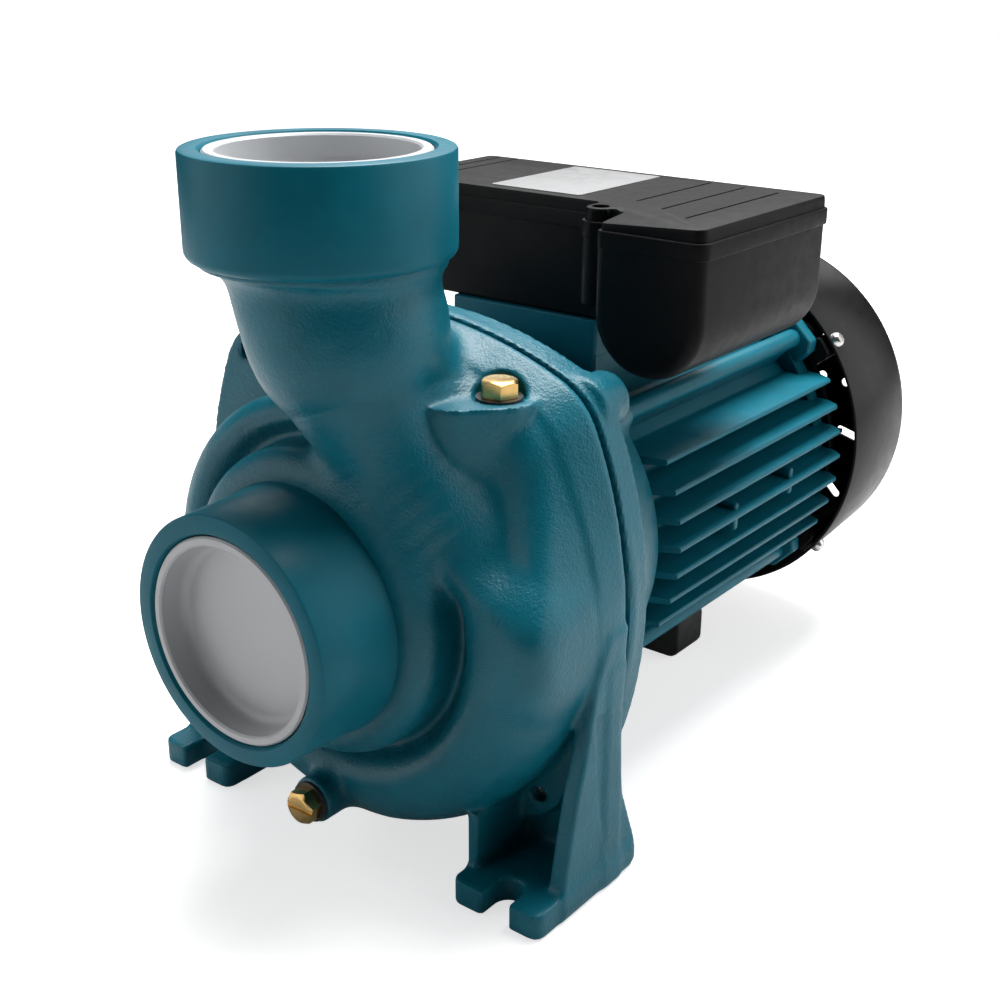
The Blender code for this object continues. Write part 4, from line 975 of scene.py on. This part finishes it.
def terminal_box():
    front = BOX_LOW.y + BOX_FRONT_SETBACK
    floor = BOX_LOW.z + 10.8
    main = box_corners(BOX_LOW.x, front, BOX_HIGH.x - 30, BOX_HIGH.y, 5)
    slab("box_body", main, eased(floor, BOX_HIGH.z, 1.5, 0.3), "black_plastic", stands_for=["terminal_box"])
    lofted("box_pocket", trough_rings(BOX_LOW.y, BOX_HIGH.y - 0.8, 5.5), "black_plastic")
    for x in (BOSS_X, LEFT_BOSS_X):
        side = "right" if x > 0 else "left"
        name, radius = f"box_boss_{side}", BOSS_RADIUS - 0.5
        soften(rod(name, radius, 230, BOX_HIGH.z, "Z", (x, BOSS_Y), "black_plastic"), 1.0)
        web = box_corners(x - BOSS_RADIUS + 0.6, BOSS_Y, x + BOSS_RADIUS - 0.6, front + 2, 0.3)
        slab(f"box_boss_web_{side}", web, eased(231, BOX_HIGH.z, 1, 0.2), "black_plastic")


def lid_grooves():
    """Shallow grooves pressed into the lid's top, three at each end."""
    grooves = []
    right = ((53, 141, 205), (72, 131, 203), (91, 119, 200))
    left = ((-63, 140, 212), (-73, 134, 206), (-82, 130, 198))
    for x, low, high in right + left:
        corners = box_corners(x - 0.65, low, x + 0.65, high, 0.6)
        grooves.append(slab("groove", corners, [(LID_HIGH.z - 1.2, 0), (LID_HIGH.z + 4, 0)]))
    return grooves


def slope_front(piece, start, end, fall):
    """Folds the lid's top down by fall per mm ahead of the line from start to end, to the right of start."""
    along = (Vector(end) - Vector(start)).normalized()
    ahead = Vector((along.y, -along.x))
    shape = bmesh.new()
    shape.from_mesh(piece.data)
    line = to_metres((*start, 0))
    for normal in ((*ahead, 0), (1, 0, 0)):
        everything = shape.verts[:] + shape.edges[:] + shape.faces[:]
        bmesh.ops.bisect_plane(shape, geom=everything, plane_co=line, plane_no=normal)
    floor = to_metres((0, 0, LID_HIGH.z - 2.5)).z
    for corner in shape.verts:
        depth = (corner.co.xy - line.xy).dot(ahead)
        if depth > 0 and corner.co.z > floor and corner.co.x > line.x + 0.1 * MM:
            corner.co.z -= depth * fall
    shape.to_mesh(piece.data)
    shape.free()


def terminal_lid():
    front = LID_LOW.y + BOX_FRONT_SETBACK
    plan = lid_plan(LID_LOW, LID_HIGH, front)
    ledge = LID_HIGH.z - 5.5
    skirt = slab("lid_skirt", plan, eased(LID_LOW.z, ledge, 0.6, 0.8), "black_plastic", "box_lid", steps=5)
    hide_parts("terminal_box_lid")
    plateau = lid_plan(LID_LOW + Vector((4, 0, 0)), LID_HIGH, front)
    stations = [(ledge - 1.5, 1.3), (LID_HIGH.z - 2.2, 1.5), (LID_HIGH.z - 0.7, 1.7)]
    stations += [(LID_HIGH.z - 0.2, 2.0), (LID_HIGH.z, 2.6)]
    top = slab("lid_top", plateau, stations, "black_plastic", "box_lid", steps=5)
    combine(top, *lid_grooves())
    slope_front(top, (BOSS_X + 9, BOSS_Y + 6), (LID_HIGH.x, LID_LOW.y + 1), 0.12)
    for piece in (skirt, top):
        wells = [rod("well", 4.0, 250, 300, "Z", (x, BOSS_Y)) for x in (BOSS_X, LEFT_BOSS_X)]
        combine(piece, *wells)
    low, high = PLATE_LOW, PLATE_HIGH
    corners = box_corners(low.x, low.y, high.x, high.y, 1.5)
    stations = eased(LID_HIGH.z - 0.1, LID_HIGH.z + 0.35, 0.05, 0.1)
    slab("label_plate", corners, stations, "plate_label", "box_lid", stands_for=["rating_plate"])


def lid_screws():
    for number, body in ((1, "lid_screw_right"), (2, "lid_screw_left")):
        low, high = corners_mm(f"lid_screw_{number}")
        centre = ((low.x + high.x) / 2, (low.y + high.y) / 2)
        profile = [(low.z, 0), (low.z, 1.9), (high.z - 2.6, 1.9), (high.z - 2.6, 3.7), (high.z - 1, 3.7)]
        profile += [(high.z, 2.2), (high.z, 0)]
        name = f"lid_screw_body_{number}"
        turned(name, profile, "zinc_steel", body, "Z", centre, 32, stands_for=[f"lid_screw_{number}"])


def gland():
    """Cable gland on the left wall of the box: hex base, dome nut and the hole for the cable."""
    low, high = corners_mm("cable_gland")
    centre = ((low.y + high.y) / 2, (low.z + high.z) / 2)
    wall = BOX_LOW.x
    stations = eased(wall - 6, wall - 0.3, 0.8, 0.4)
    base = slab("gland_base", hex_corners(20, 0), stations, "black_plastic", axis="X", shift=centre)
    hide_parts("cable_gland")
    nut = [(wall - 5, 4.5), (wall - 5, 9.2), (wall - 12, 9.2), (wall - 16, 8.4)]
    nut += [(low.x + 1, 7.0), (low.x, 6.2), (low.x, 4.5)]
    turned("gland_nut", nut, "black_plastic", axis="X", centre=centre, steps=48)


# ---- remaining CAD nodes


def dress_cad_nodes():
    """Gives every CAD node that still shows the finish of its record slot."""
    slots = {part["node"]: part["material_slot"] for part in frame["record"]["subparts"]}
    for name, shown in frame["nodes"].items():
        if shown.hide_render:
            continue
        look = "frame_enamel" if slots[name] == "teal_enamel" else slots[name]
        shown.data.materials.clear()
        shown.data.materials.append(FINISHES[look])


# ---- stage

CAMERA_AZIMUTH, CAMERA_ELEVATION, CAMERA_ROLL = 37.706, 21.382, 0.2925
CAMERA_PLACE = (396.8, -400.1, 382.1)
CAMERA_LENS = 52.38
FLOOR_REACH, FLOOR_GAP = 12.0, 0.0006


def camera():
    made = bpy.data.objects.new("camera", bpy.data.cameras.new("camera"))
    made.data.lens = CAMERA_LENS
    made.data.sensor_width = 36
    made.data.clip_start = 0.01
    a, e, roll = (radians(v) for v in (CAMERA_AZIMUTH, CAMERA_ELEVATION, CAMERA_ROLL))
    back = Vector((sin(a) * cos(e), -cos(a) * cos(e), sin(e)))
    right = Vector((cos(a), sin(a), 0))
    up = back.cross(right)
    c, s = cos(roll), sin(roll)
    turn = Matrix((right * c + up * s, up * c - right * s, back)).transposed().to_4x4()
    made.matrix_world = Matrix.Translation(to_metres(CAMERA_PLACE)) @ turn
    show(made)
    bpy.context.scene.camera = made


def around(right, ahead, up):
    """A place in metres from the pump's middle: right and ahead as the camera sees it, up from the floor."""
    turn = radians(CAMERA_AZIMUTH)
    c, s = cos(turn), sin(turn)
    return Vector((right * c - ahead * s, right * s + ahead * c, up))


def softbox(name, place, size, power, target=(0, 0, 0.15)):
    lamp = bpy.data.lights.new(name, "AREA")
    lamp.shape = "RECTANGLE"
    lamp.size, lamp.size_y = size
    lamp.energy = power
    made = bpy.data.objects.new(name, lamp)
    made.location = place
    made.rotation_euler = (Vector(target) - place).to_track_quat("-Z", "Y").to_euler()
    show(made)


def surroundings():
    """Dim for the pump, white for the camera."""
    world = bpy.data.worlds.new("studio")
    world.use_nodes = True
    tree = world.node_tree
    seen = node(tree, "LightPath").outputs["Is Camera Ray"]
    tree.links.new(spread(tree, seen, 0, 1, 0.02, 1), tree.nodes["Background"].inputs["Strength"])
    tree.nodes["Background"].inputs["Color"].default_value = (1, 1, 1, 1)
    bpy.context.scene.world = world


def floor_finish():
    """Pale floor that glows white to the camera, less so near the pump, and is clear from below."""
    made = finish("pale_floor", (0.65, 0.65, 0.65), 0.7, swing=0.01, patches=400)
    tree = made.node_tree
    link = tree.links.new
    shader = tree.nodes["Principled BSDF"]
    far = node(tree, "VectorMath")
    far.operation = "LENGTH"
    link(node(tree, "TexCoord").outputs["Object"], far.inputs[0])
    glow = node(tree, "Math", operation="MULTIPLY")
    link(spread(tree, far.outputs["Value"], 0.2, 1.4, 0.66, 1.0), glow.inputs[0])
    link(node(tree, "LightPath").outputs["Is Camera Ray"], glow.inputs[1])
    shader.inputs["Emission Color"].default_value = (1, 1, 1, 1)
    link(glow.outputs[0], shader.inputs["Emission Strength"])
    choice = node(tree, "MixShader")
    link(node(tree, "NewGeometry").outputs["Backfacing"], choice.inputs[0])
    link(shader.outputs[0], choice.inputs[1])
    link(node(tree, "BsdfTransparent").outputs[0], choice.inputs[2])
    link(choice.outputs[0], tree.nodes["Material Output"].inputs["Surface"])
    return made


def studio():
    bpy.context.scene.view_settings.view_transform = "Standard"
    surroundings()
    softbox("overhead", around(0.2, 0.45, 1.6), (1.2, 1.2), 64)
    softbox("rear", around(0.2, 1.7, 1.2), (2.4, 1.0), 11)
    softbox("right", around(1.6, -0.1, 0.8), (2.0, 1.5), 17)
    softbox("left", around(-1.6, -0.3, 0.7), (2.0, 1.4), 12)
    mesh = bpy.data.meshes.new("floor")
    corners = [(u, v, 0) for u, v, _ in box_corners(-FLOOR_REACH, -FLOOR_REACH, FLOOR_REACH, FLOOR_REACH, 0)]
    mesh.from_pydata(corners, [], [(0, 1, 2, 3)])
    floor = bpy.data.objects.new("floor", mesh)
    floor.location.z = -FLOOR_GAP
    mesh.materials.append(floor_finish())
    show(floor)


def build():
    step = FINE_STEP
    casing(step)
    bracket(step)
    caps_and_plugs()
    motor_frame()
    end_shield()
    fan_cover()
    cover_screws()
    support_foot()
    terminal_box()
    terminal_lid()
    lid_screws()
    gland()
    dress_cad_nodes()
    camera()
    studio()


build()
